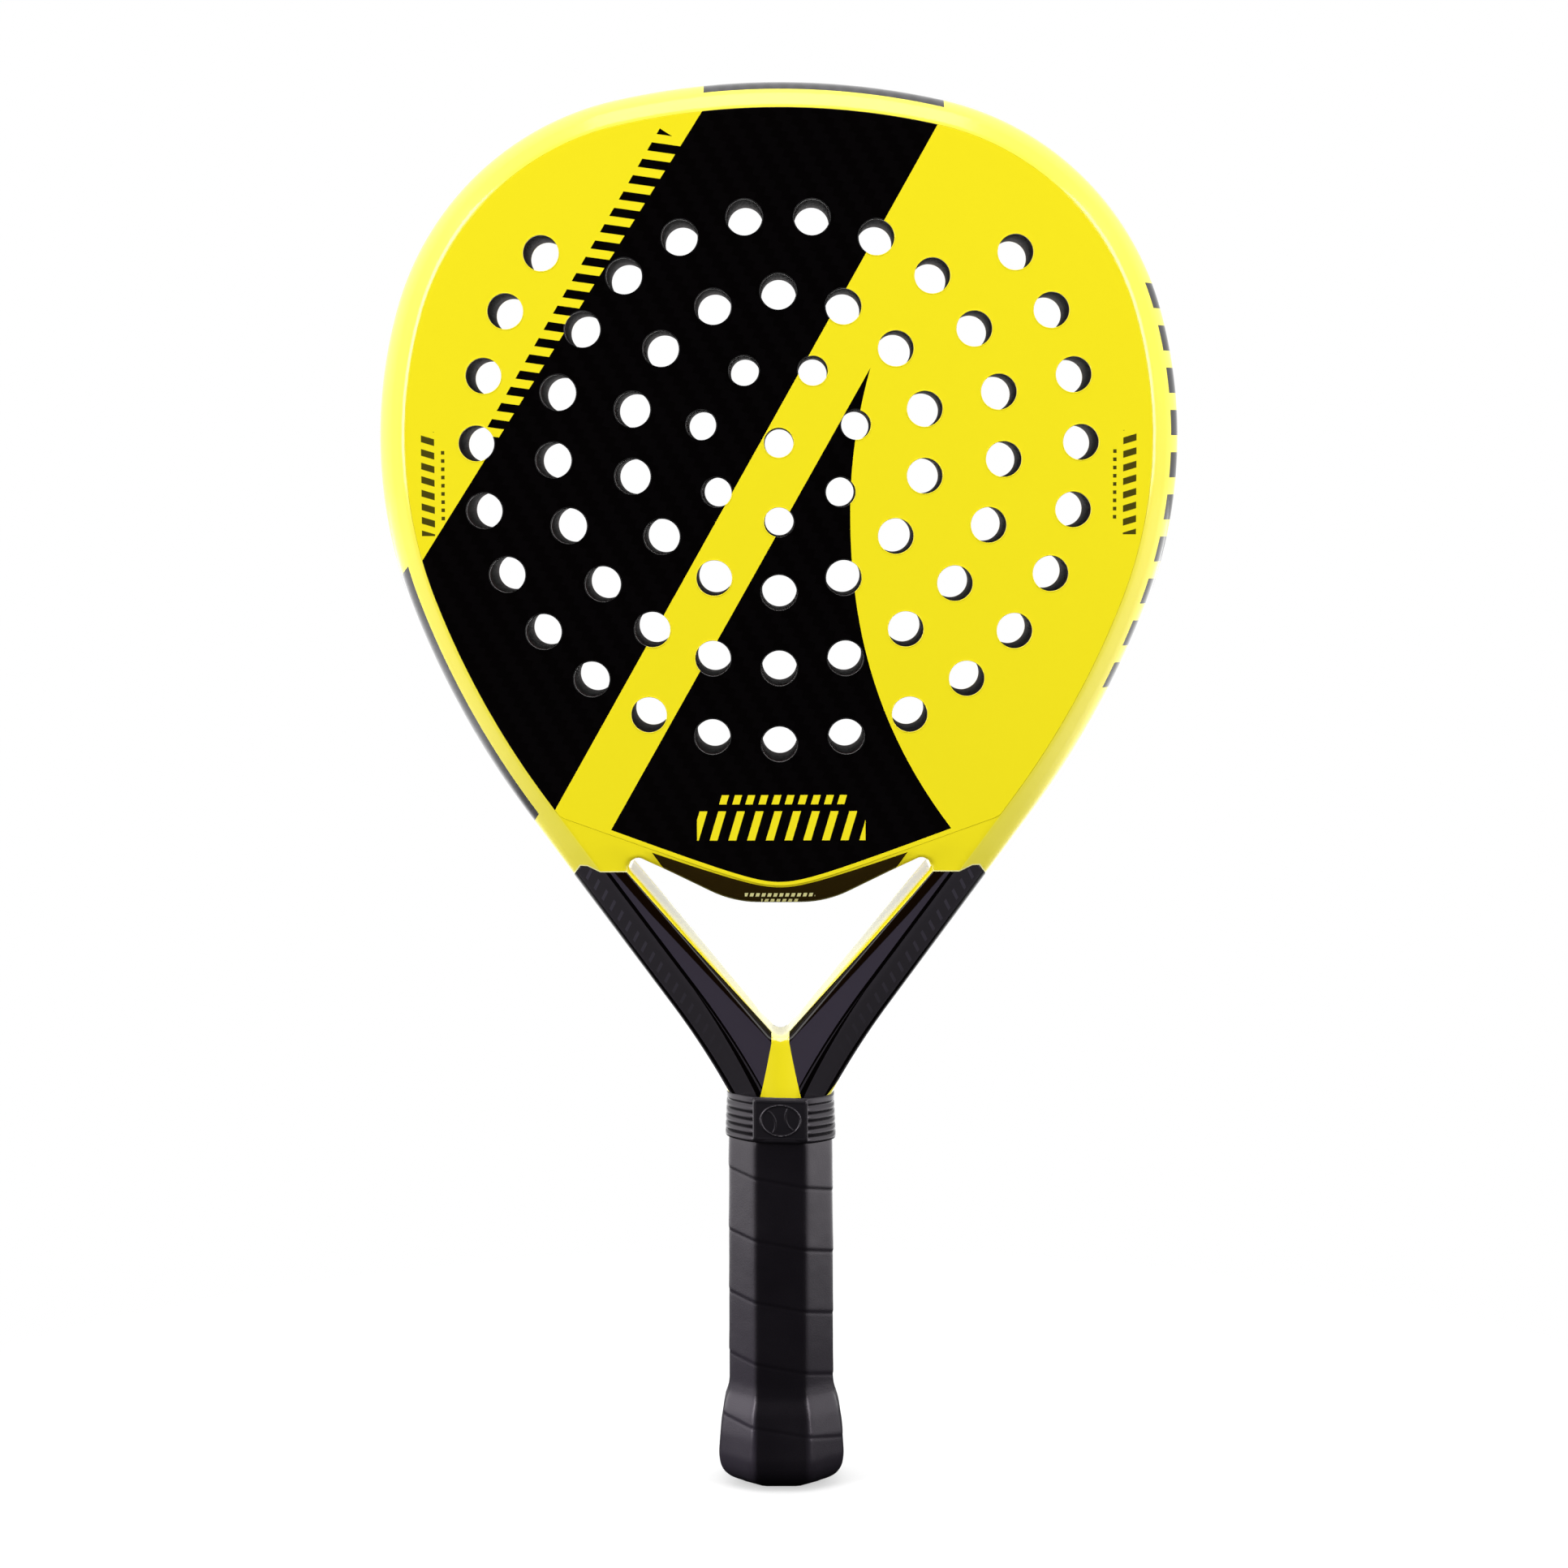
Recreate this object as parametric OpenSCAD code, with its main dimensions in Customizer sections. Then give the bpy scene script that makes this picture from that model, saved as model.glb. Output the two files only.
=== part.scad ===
// Padel racket: a hollow carbon hoop round a foam core with two perforated faces, an open
// throat, and a taped eight-sided handle with a rubber collar and a flared end cap.
// It stands upright on its end cap: +Z runs from the butt to the tip, +X is the width, and
// the front face looks towards -Y.

/* [Racket] */
// Length from the butt to the tip
racket_len = 455; // [450:1:460]
// Thickness over the two faces
racket_t = 38; // [36:0.5:38]

/* [Head outline] */
// Radius of the crown at the tip
crown_r = 241; // [236:1:246]
// Turn of half the crown, in degrees
crown_turn = 12.5; // [12:0.1:13]
// Radius of each shoulder
shoulder_r = 94.2; // [93:0.1:96]
// Turn of a shoulder, in degrees
shoulder_turn = 61.3; // [60:0.1:62]
// Radius of each flank, at the widest part
flank_r = 151.5; // [150:0.5:154]
// Turn of a flank, in degrees
flank_turn = 37.2; // [36:0.1:38]
// Radius of each waist, where the head runs into the arms
waist_r = 281; // [276:1:286]
// Turn of a waist, in degrees
waist_turn = 15.4; // [15:0.1:16]

/* [Hoop tube] */
// Width of the tube, across its wall towards the middle of the head
tube_w = 14; // [13.5:0.1:14.5]
// Thickness of the carbon wall
tube_wall = 1.3; // [1.2:0.1:2]
// Width of the sloping shoulder round the head
bevel_w = 9.4; // [8.5:0.1:10]

/* [Faces and core] */
// Thickness of a face sheet
face_t = 0.8; // [0.6:0.1:1.2]
// Height of the middle of the hole pattern
pattern_z = 340.3; // [338:0.1:343]
// Radius of the middle hole and of the first ring's holes
small_hole_r = 4.7; // [4:0.1:5]
// Radius of the holes of the outer rings
large_hole_r = 5.65; // [5:0.05:6]

/* [Throat] */
// Height of the flat middle of the bridge's lower edge
bridge_z = 192.9; // [190:0.1:196]
// Depth of the bridge, up the racket
bridge_h = 10.6; // [9:0.1:12]
// Slope of the bridge's raised ends, in degrees
bridge_slope = 26.7; // [25:0.1:28]
// Slope of the arms' inner edges from upright, in degrees
fork_angle = 40.3; // [39.5:0.1:41]
// Height where the arms' inner edges would meet
fork_z = 146.8; // [146:0.1:148]

/* [Handle] */
// Width of the taped handle
grip_w = 34; // [33:0.5:35]
// Depth of the taped handle
grip_d = 33; // [32:0.5:34]
// Thickness of the tape
tape_t = 2; // [1.5:0.1:2]
// Radius of the hole for the wrist cord
cord_hole_r = 3.5; // [3:0.1:4]

/* [Bead capsules] */
// Outer radius of a capsule tube
capsule_r = 3.8; // [3.6:0.1:3.9]
// Length of a capsule tube
capsule_len = 34; // [30:1:36]
// Radius of a bead
bead_r = 2.7; // [2:0.1:2.7]
// Number of beads in a capsule
bead_count = 4; // [3:1:4]

/* [Hidden] */
$fn = 48;

half_t = racket_t / 2;
core_d = half_t - face_t; // half depth of the core and of the bed for a face sheet

// A place on the outline is [x, z, heading]. The heading is the way of travel from the tip
// down the right side, in degrees: 0 is towards +X and 90 is straight down. A negative
// radius with a negative turn bends the other way.
function arc_end(p, r, turn) = [
    p.x + r * (sin(p.z + turn) - sin(p.z)),
    p.y + r * (cos(p.z + turn) - cos(p.z)),
    p.z + turn
];
function arc_places(p, r, turn, n) = [for (i = [1:n]) arc_end(p, r, turn * i / n)];
function line_end(p, len) = [p.x + len * cos(p.z), p.y - len * sin(p.z), p.z];
function line_places(p, len, n) = [for (i = [1:n]) line_end(p, len * i / n)];
function inward(p) = [-sin(p.z), -cos(p.z)];
function lerp(a, b, k) = a + (b - a) * k;
function clamp01(k) = max(0, min(1, k));
function mirrored(points) = [for (i = [len(points) - 1:-1:0]) [-points[i].x, points[i].y]];

// The legs of the tube, inside the handle
leg_x = 12; // outer side of a leg
leg_gap = 0.5; // half the gap between the legs
leg_d = 10.8; // half depth of a leg
leg_cut = 4.2; // cut-off outer corners of a leg
leg_z = 12; // lower end of the legs
// The neck, where the arms run into the collar
neck_r = 262;
neck_turn = 7.8;
neck_d = 13.8; // half depth at the collar's rim
neck_z = 128.4; // height of the collar's rim
root_r = 39; // bend from the neck into a leg
arm_z = 210; // the arms thin down from here
sheet_end_z = 217; // the face sheets end here at the sides
glue = 0.1; // glue line between the tube and what it holds

tip = [0, racket_len, 0];
crown_end = arc_end(tip, crown_r, crown_turn);
shoulder_end = arc_end(crown_end, shoulder_r, shoulder_turn);
flank_end = arc_end(shoulder_end, flank_r, flank_turn);
arm_top = arc_end(flank_end, waist_r, waist_turn);
arm_heading = arm_top.z;
root_turn = arm_heading - neck_turn - 90;
// Sideways travel of the neck and root bends, then the straight arm that is left
bend_x = neck_r * (sin(arm_heading - neck_turn) - sin(arm_heading))
    + root_r * (1 - sin(arm_heading - neck_turn));
arm_len = (arm_top.x - bend_x - leg_x) / -cos(arm_heading);
arm_end = line_end(arm_top, arm_len);
neck_end = arc_end(arm_end, -neck_r, -neck_turn);
leg_top = arc_end(neck_end, -root_r, -root_turn);

outline = concat(
    [tip],
    arc_places(tip, crown_r, crown_turn, 5),
    arc_places(crown_end, shoulder_r, shoulder_turn, 18),
    arc_places(shoulder_end, flank_r, flank_turn, 12),
    arc_places(flank_end, waist_r, waist_turn, 6),
    line_places(arm_top, arm_len, 8),
    arc_places(arm_end, -neck_r, -neck_turn, 2),
    arc_places(neck_end, -root_r, -root_turn, 4),
    [[leg_x, leg_z, 90]]
);

// Inner side of the tube. It keeps the tube's width round the head, follows the straight
// fork line down the arms, and closes up from the crotch to the gap between the legs.
fork_slope = tan(fork_angle);
crotch_x = 4;
crotch_z = fork_z + crotch_x / fork_slope;
crotch_w = ([crotch_x, crotch_z] - [arm_top.x, arm_top.y]) * inward(arm_top);
crotch_outer_z = crotch_z - crotch_w * inward(arm_top).y;
function fork_w(p) = p.z < 90 ? 0
    : (p.x - (p.y - fork_z) * fork_slope) / (fork_slope * inward(p).y - inward(p).x);
function inner_place(p) = let (
    i = [p.x, p.y] + max(tube_w, fork_w(p)) * inward(p),
    k = (crotch_outer_z - p.y) / (crotch_outer_z - leg_top.y)
)
    p.y >= crotch_outer_z ? i
    : k < 1 ? [lerp(crotch_x, leg_gap, k), lerp(crotch_z, leg_top.y, k)]
    : [leg_gap, p.y];

// Half depth of the tube at a height
function half_depth(z) =
    z > neck_z ? lerp(half_t, neck_d, clamp01((arm_z - z) / (arm_z - neck_z)))
    : lerp(neck_d, leg_d, clamp01((neck_z - z) / (neck_z - leg_top.y)));

// Front half of the tube's section, from the middle of the outer wall to the middle of the
// inner wall, as [distance in from the outer side, depth]
function hoop_half(w) = [
    [0, 0], [0, 9], [1.2, 13.8], [bevel_w, half_t - 0.05], [bevel_w + 0.2, core_d],
    [w, core_d], [w, 6]
];
function arm_half(w, d) = [
    [0, 0], [0.3, 0.45 * d], [3.9, 0.82 * d], [9.4, 0.95 * d], [14, 0.9 * d],
    [w - 0.6, 0.66 * d], [w, 0.3 * d]
];
function leg_half(w, d) = [
    [0, 0], [0, d - leg_cut], [leg_cut / 2, d - leg_cut / 2], [leg_cut, d], [w - 1.4, d],
    [w - 0.5, d - 0.4], [w, d - 1.4]
];
function half_section(z, w) = lerp(
    lerp(hoop_half(w), arm_half(w, half_depth(z)), clamp01((sheet_end_z - z) / 12)),
    leg_half(w, half_depth(z)),
    clamp01((neck_z - z) / (neck_z - leg_top.y))
);
function whole_section(half) = concat(
    [for (p = half) [p.x, -p.y]],
    [for (i = [len(half) - 1:-1:1]) half[i]]
);
// The cavity is the section drawn in by the wall on every side
function cavity_section(points, w) = let (d = max([for (p = points) p.y])) [
    for (p = points)
        [w / 2 + (p.x - w / 2) * (1 - 2 * tube_wall / w), p.y * (1 - tube_wall / d)]
];

// One ring of the tube, as points in space; side is 1 on the right and -1 on the left
function ring(p, side, hollow) = let (
    inner = inner_place(p),
    w = norm(inner - [p.x, p.y]),
    u = (inner - [p.x, p.y]) / w,
    outer_section = whole_section(half_section(p.y, w)),
    section = hollow ? cavity_section(outer_section, w) : outer_section
) [for (q = section) [side * (p.x + q.x * u.x), q.y, p.y + q.x * u.y]];
function tube_rings(hollow) = concat(
    [for (i = [len(outline) - 1:-1:1]) ring(outline[i], -1, hollow)],
    [for (p = outline) ring(p, 1, hollow)]
);

function flat(lists) = [for (l = lists) each l];
// Two triangles for each cell between ring i and ring i + 1, in rings of n points that
// start at point `first`
function band(first, n, i, flip) = flat([
    for (j = [0:n - 1]) let (
        a = first + i * n + j,
        b = first + i * n + (j + 1) % n,
        c = b + n,
        d = a + n
    ) flip ? [[a, b, c], [a, c, d]] : [[a, c, b], [a, d, c]]
]);

// A hollow body between a list of outer rings and a list of inner rings, open at both ends
module ring_shell(outer, inner) {
    n = len(outer[0]);
    m = len(outer);
    k = len(inner);
    ends = flat([
        for (j = [0:n - 1]) let (
            a = j, b = (j + 1) % n,
            c = m * n + b, d = m * n + a,
            e = (m - 1) * n + j, f = (m - 1) * n + (j + 1) % n,
            g = (m + k - 1) * n + (j + 1) % n, h = (m + k - 1) * n + j
        ) [[a, b, c], [a, c, d], [e, g, f], [e, h, g]]
    ]);
    polyhedron(
        points = concat(flat(outer), flat(inner)),
        faces = concat(
            flat([for (i = [0:m - 2]) band(0, n, i, false)]),
            flat([for (i = [0:k - 2]) band(m * n, n, i, true)]),
            ends
        ),
        convexity = 10
    );
}

// A plate in the X-Z plane whose back lies at y_back
module plate(y_back, t) {
    translate([0, y_back, 0]) rotate([90, 0, 0]) linear_extrude(t) children();
}

// The corner at b turned into an arc of radius r, as n + 1 points
function round_corner(a, b, c, r, n) = let (
    u = (a - b) / norm(a - b),
    v = (c - b) / norm(c - b),
    half_angle = acos(u * v) / 2,
    m = (u + v) / norm(u + v),
    centre = b + m * r / sin(half_angle),
    start = b + u * r / tan(half_angle) - centre,
    finish = b + v * r / tan(half_angle) - centre
) [for (i = [0:n]) let (q = lerp(start, finish, i / n)) centre + q * r / norm(q)];

// Throat opening: a flat-bottomed V above, the arms' inner edges at the sides
bridge_tan = tan(bridge_slope);
bridge_flat = 15.5; // half width of the bridge's flat middle
function fork_x(z) = (z - fork_z) * fork_slope;
// Place where a line at the bridge's slope, from [x, z], meets the arm's inner edge
function meets_fork(x, z) = let (
    top = (z + bridge_tan * (-fork_slope * fork_z - x)) / (1 - bridge_tan * fork_slope)
) [fork_x(top), top];
throat_corner = meets_fork(bridge_flat, bridge_z);
core_flat = bridge_flat - 2.5;
core_z = bridge_z + bridge_h;
core_corner = meets_fork(core_flat, core_z);

module throat_2d() {
    right = throat_corner;
    left = [-right.x, right.y];
    flat_right = [bridge_flat, bridge_z];
    flat_left = [-bridge_flat, bridge_z];
    bottom = [0, fork_z];
    polygon(concat(
        round_corner(flat_right, right, bottom, 2.9, 8),
        round_corner(right, bottom, left, 3.5, 8),
        round_corner(bottom, left, flat_left, 2.9, 8),
        round_corner(left, flat_left, flat_right, 18, 6),
        round_corner(flat_left, flat_right, right, 18, 6)
    ));
}

// The 64 holes: a middle hole and rings of 7, 14, 21 and 28 places. The outermost ring
// keeps only the 21 places that lie nearest to the handle.
ring_radii = [25.2, 47.6, 71.7, 96];
module face_holes() {
    translate([0, pattern_z]) circle(small_hole_r);
    for (k = [1:4])
        for (i = [0:7 * k - 1]) {
            turn = i * 360 / (7 * k);
            if (k < 4 || min(turn, 360 - turn) < 130)
                translate([ring_radii[k - 1] * sin(turn), pattern_z - ring_radii[k - 1] * cos(turn)])
                    circle(k == 1 ? small_hole_r : large_hole_r);
        }
}

// Head region drawn in from the outline by `inset`, down to height `low`, closed below by
// the given points of its right side
function head_side(inset, low) = [
    for (p = outline) if (p.y > low) [p.x, p.y] + inset * inward(p)
];
module head_2d(inset, low, lower) {
    side = concat(head_side(inset, low), lower);
    polygon(concat(side, mirrored([for (i = [1:len(side) - 1]) side[i]])));
}

module frame_tube() {
    color("black") ring_shell(tube_rings(false), tube_rings(true));
}

module bridge_band_2d(low, high) {
    rise = high - low;
    a = meets_fork(bridge_flat, bridge_z + low);
    b = meets_fork(bridge_flat - rise / 4, bridge_z + high);
    side = [[bridge_flat, bridge_z + low], a, b, [bridge_flat - rise / 4, bridge_z + high]];
    polygon(concat(side, mirrored(side)));
}

module throat_bridge() {
    deep_z = bridge_z + 5.2; // the bridge is full depth under the face sheets
    color("black") difference() {
        union() {
            plate(core_d, 2 * core_d) difference() {
                bridge_outline_2d();
                translate([-100, deep_z - 60]) square([200, 60]);
            }
            plate(core_d - 1.6, 2 * core_d - 3.2) difference() {
                bridge_outline_2d();
                throat_2d();
            }
        }
        plate(core_d - 3.4, 2 * core_d - 6.8) bridge_band_2d(2.6, bridge_h - 2.4);
    }
}
module bridge_outline_2d() {
    top = [core_flat, core_z - glue];
    end = core_corner - [2 * glue, glue]; // its sharp tip is cut off
    low = [fork_x(bridge_z - 4) - glue, bridge_z - 4];
    side = [top, lerp(top, end, 0.93), lerp(end, low, 0.05), low];
    polygon(concat(side, mirrored(side)));
}

module yoke_filler() {
    low_z = lerp(crotch_z, leg_top.y, 0.85);
    low_x = lerp(crotch_x, leg_gap, 0.85);
    side = [[crotch_x, crotch_z], [low_x, low_z]];
    color("gold") plate(7, 14) difference() {
        polygon(concat(side, mirrored(side)));
        throat_2d();
    }
}

module foam_core() {
    color("dimgray") plate(core_d, 2 * core_d) difference() {
        polygon(concat(core_side, mirrored(core_side)));
        face_holes();
    }
}
core_side = concat(
    [for (p = outline) if (p.x > 0 && inner_place(p).y > core_corner.y + 1)
        inner_place(p) + glue * inward(p)],
    [core_corner - [2 * glue, 0], [core_flat, core_z]]
);

sheet_inset = bevel_w + 0.3;
sheet_low = [[47, 213.4], [12.5, bridge_z + 5.3]];
module face_sheet(y_back) {
    plate(y_back, face_t) difference() {
        head_2d(sheet_inset, sheet_end_z, sheet_low);
        face_holes();
    }
}
module face_front() {
    color("gold") face_sheet(-core_d);
}
module face_back() {
    color("gold") face_sheet(half_t);
}

// Bead capsules. Each lies along the hoop, a little below its widest part.
capsule_heading = 95;
capsule_inset = 7;
capsule_place = arc_end(shoulder_end, flank_r, capsule_heading - shoulder_end.z);
capsule_mid = [capsule_place.x, capsule_place.y] + capsule_inset * inward(capsule_place);
capsule_bore_r = capsule_r - 0.7;
plug_deep = 2.5; // depth of a plug in its tube
plug_rim = 1.5; // thickness of a plug's rim
bead_space = 0.3; // clearance left at each end of the travel
bead_pitch = 2 * bead_r + 0.02;
module in_hoop(side) {
    mirror([side < 0 ? 1 : 0, 0, 0])
        translate([capsule_mid.x, 0, capsule_mid.y])
            rotate([0, capsule_heading - 90, 0]) children();
}
module capsule_tube(side) {
    color("silver") in_hoop(side) difference() {
        cylinder(h = capsule_len, r = capsule_r, center = true);
        cylinder(h = capsule_len + 2, r = capsule_bore_r, center = true);
    }
}
module capsule_plug(side, end) {
    color("dimgray") in_hoop(side) mirror([0, 0, end < 0 ? 1 : 0]) {
        translate([0, 0, capsule_len / 2 - plug_deep])
            cylinder(h = plug_deep + 0.5, r = capsule_bore_r - 0.05);
        translate([0, 0, capsule_len / 2]) cylinder(h = plug_rim, r = capsule_r - 0.1);
    }
}
module capsule_cradle(side, end) {
    color("gray") in_hoop(side) translate([0, 0, end * 11]) difference() {
        cube([8.6, 20, 7], center = true);
        cylinder(h = 9, r = capsule_r + 0.05, center = true);
    }
}
module bead_column(side) {
    low = -capsule_len / 2 + plug_deep + bead_space + bead_r;
    color("lightgray") in_hoop(side)
        for (i = [0:bead_count - 1])
            translate([0, 0, low + i * bead_pitch]) sphere(bead_r);
}

// Eight-sided outline of the handle with its corners taken off, as points at height z
facet_x = 9.2; // corner facet's reach along X
facet_y = 9; // and along Y
function octagon(hw, hd) = let (
    cx = facet_x * hw / 17,
    cy = facet_y * hd / 16.5,
    b = 0.09, // share of a side that each rounded corner takes
    c = [
        [hw, -hd + cy], [hw, hd - cy], [hw - cx, hd], [-hw + cx, hd],
        [-hw, hd - cy], [-hw, -hd + cy], [-hw + cx, -hd], [hw - cx, -hd]
    ]
) flat([
    for (i = [0:7]) [lerp(c[i], c[(i + 7) % 8], b), lerp(c[i], c[(i + 1) % 8], b)]
]);
// A ring of the handle from [z, half width]; its depth keeps the handle's proportions
function handle_ring(q) = [
    for (p = octagon(q.y, q.y + (grip_d - grip_w) / 2)) [p.x, p.y, q.x]
];
function handle_rings(profile) = [for (q = profile) handle_ring(q)];
function grown(profile, by) = [for (q = profile) [q.x, q.y + by]];

grip_hw = grip_w / 2;
pallet_hw = grip_hw - tape_t;
pallet_z = 4.3;
pallet_top = leg_top.y - 0.5;
// Outline of both legs together, grown a little
module legs_2d(by) {
    x = leg_x + by;
    y = leg_d + by;
    cut = leg_cut + by / 2;
    side = [[x - cut, y], [x, y - cut], [x, cut - y], [x - cut, -y]];
    polygon(concat(side, mirrored(side)));
}
module pallet_half(side) {
    color("tan") translate([0, 0, pallet_z]) linear_extrude(pallet_top - pallet_z)
        difference() {
            intersection() {
                polygon(octagon(pallet_hw, pallet_hw + (grip_d - grip_w) / 2));
                translate([-40, side < 0 ? -40 : 0]) square([80, 40]);
            }
            legs_2d(0.1);
        }
}
module pallet_front() {
    pallet_half(-1);
}
module pallet_back() {
    pallet_half(1);
}

// Outer side of the end cap, from its flat end up its skirt, as [z, half width]
cap_profile = [
    [0, 12.4], [1.2, 14.6], [4, 17], [9.3, 18.6], [17.5, 18], [25.7, 16.7], [29, 15.6]
];
cap_floor = 4;
module butt_cap() {
    cavity = pallet_hw + 0.05;
    color("black") difference() {
        ring_solid(handle_rings(cap_profile));
        translate([0, 0, cap_floor]) linear_extrude(40)
            polygon(octagon(cavity, cavity + (grip_d - grip_w) / 2));
        translate([0, 0, -1]) cylinder(h = cap_floor + 2, r = cord_hole_r);
    }
}
// A closed body through a list of rings
module ring_solid(rings) {
    n = len(rings[0]);
    m = len(rings);
    polyhedron(
        points = flat(rings),
        faces = concat(
            flat([for (i = [0:m - 2]) band(0, n, i, false)]),
            [[for (j = [0:n - 1]) j], [for (j = [n - 1:-1:0]) (m - 1) * n + j]]
        ),
        convexity = 4
    );
}

module cap_staples() {
    crown_w = 8;
    wire = 0.8;
    leg = 4.6;
    out = 15.8; // outer side of the crown, in the cap's skirt
    color("silver") for (side = [-1, 1])
        translate([0, side * out, 20]) {
            translate([-crown_w / 2, -side * wire / 2 - wire / 2, 0]) cube([crown_w, wire, wire]);
            for (x = [-crown_w / 2, crown_w / 2 - wire])
                translate([x, side > 0 ? -leg : 0, 0]) cube([wire, leg, wire]);
        }
}

// Outer side of the wound tape, from the cap to its thinned top under the collar
collar_z = 113.2;
grip_profile = [
    [1.3, 15], [2.2, 16.8], [4.6, 19], [9.3, 20.8], [17.5, 20.1], [25.7, 18.9],
    [30.5, grip_hw + 0.1], [34, grip_hw], [collar_z - 0.8, grip_hw], [collar_z - 0.3, 16.1],
    [119, 16.1]
];
grip_bed = [
    [1.3, 14.75], [4, 17.05], [9.3, 18.65], [17.5, 18.05], [25.7, 16.75],
    [29.2, 15.6], [30, pallet_hw + 0.05], [pallet_top + 0.3, pallet_hw + 0.05],
    [119, pallet_hw + 0.05]
];
module base_grip() {
    color("black") ring_shell(handle_rings(grip_profile), handle_rings(grip_bed));
}

module finishing_tape() {
    tape = [[115, 16.15], [121, 16.15]];
    color("dimgray") ring_shell(handle_rings(grown(tape, 0.25)), handle_rings(tape));
}

rib_count = 5;
collar_rim_z = neck_z;
module collar_badge() {
    translate([-9, -17.9, collar_z + 0.4]) cube([18, 2, collar_rim_z - collar_z - 1]);
}
module rubber_collar() {
    rib_pitch = (collar_rim_z - collar_z - 1.2) / rib_count;
    base_hw = 17.3;
    ribs = flat([
        for (i = [0:rib_count - 1]) let (z = collar_z + 0.2 + i * rib_pitch) [
            [z, base_hw], [z + 0.3 * rib_pitch, base_hw + 0.8 - 0.06 * i],
            [z + 0.7 * rib_pitch, base_hw + 0.8 - 0.06 * i]
        ]
    ]);
    outer = concat([[collar_z, base_hw - 0.1]], ribs, [[collar_rim_z - 0.9, base_hw],
        [collar_rim_z, base_hw + 0.1]]);
    bed = [[collar_z, 16.5], [collar_rim_z, 16.95]];
    color("black") union() {
        ring_shell(handle_rings(outer), handle_rings(bed));
        collar_badge();
    }
}

frame_tube();
throat_bridge();
yoke_filler();
foam_core();
face_front();
face_back();
capsule_tube(-1);  // capsule_tube_left
capsule_tube(1);  // capsule_tube_right
capsule_plug(-1, 1);  // capsule_plug_upper_left
capsule_plug(-1, -1);  // capsule_plug_lower_left
capsule_plug(1, 1);  // capsule_plug_upper_right
capsule_plug(1, -1);  // capsule_plug_lower_right
capsule_cradle(-1, 1);  // capsule_cradle_upper_left
capsule_cradle(-1, -1);  // capsule_cradle_lower_left
capsule_cradle(1, 1);  // capsule_cradle_upper_right
capsule_cradle(1, -1);  // capsule_cradle_lower_right
bead_column(-1);  // bead_column_left
bead_column(1);  // bead_column_right
pallet_front();
pallet_back();
butt_cap();
cap_staples();
base_grip();
finishing_tape();
rubber_collar();
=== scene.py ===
import math
import bmesh
import bpy
import numpy as np
from mathutils import Matrix, Vector
from mathutils.geometry import delaunay_2d_cdt


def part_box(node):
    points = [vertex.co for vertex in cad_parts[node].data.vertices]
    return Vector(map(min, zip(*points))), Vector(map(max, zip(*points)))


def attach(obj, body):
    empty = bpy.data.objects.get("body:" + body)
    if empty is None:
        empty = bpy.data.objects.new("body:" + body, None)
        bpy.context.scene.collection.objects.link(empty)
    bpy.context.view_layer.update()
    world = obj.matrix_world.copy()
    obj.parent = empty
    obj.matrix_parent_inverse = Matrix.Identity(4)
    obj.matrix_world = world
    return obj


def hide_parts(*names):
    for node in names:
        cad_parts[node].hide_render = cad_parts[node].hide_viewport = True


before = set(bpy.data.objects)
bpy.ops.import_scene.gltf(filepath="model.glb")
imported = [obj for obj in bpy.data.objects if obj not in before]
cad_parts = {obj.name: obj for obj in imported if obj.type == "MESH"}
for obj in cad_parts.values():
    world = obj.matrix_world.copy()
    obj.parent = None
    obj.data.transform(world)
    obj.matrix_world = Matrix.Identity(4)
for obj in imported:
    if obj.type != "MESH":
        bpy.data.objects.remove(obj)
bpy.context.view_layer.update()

mm = 0.001
body = "racket"
scene = bpy.context.scene


view = {"lens": 82.0, "place": (0.0035, -1.158, 0.330), "down": 4.94, "left": 0.105, "roll": -0.15}


def addCamera():
    camera = bpy.data.objects.new("camera", bpy.data.cameras.new("camera"))
    camera.data.lens = view["lens"]
    camera.data.sensor_width = 36
    camera.data.clip_start = 0.01
    turn = Matrix.Rotation(math.radians(view["left"]), 4, "Z")
    turn = turn @ Matrix.Rotation(math.radians(90 - view["down"]), 4, "X")
    turn = turn @ Matrix.Rotation(math.radians(view["roll"]), 4, "Z")
    camera.matrix_world = Matrix.Translation(view["place"]) @ turn
    scene.collection.objects.link(camera)
    scene.camera = camera


addCamera()
scene.view_settings.view_transform = "Standard"
print("camera is set")


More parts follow.
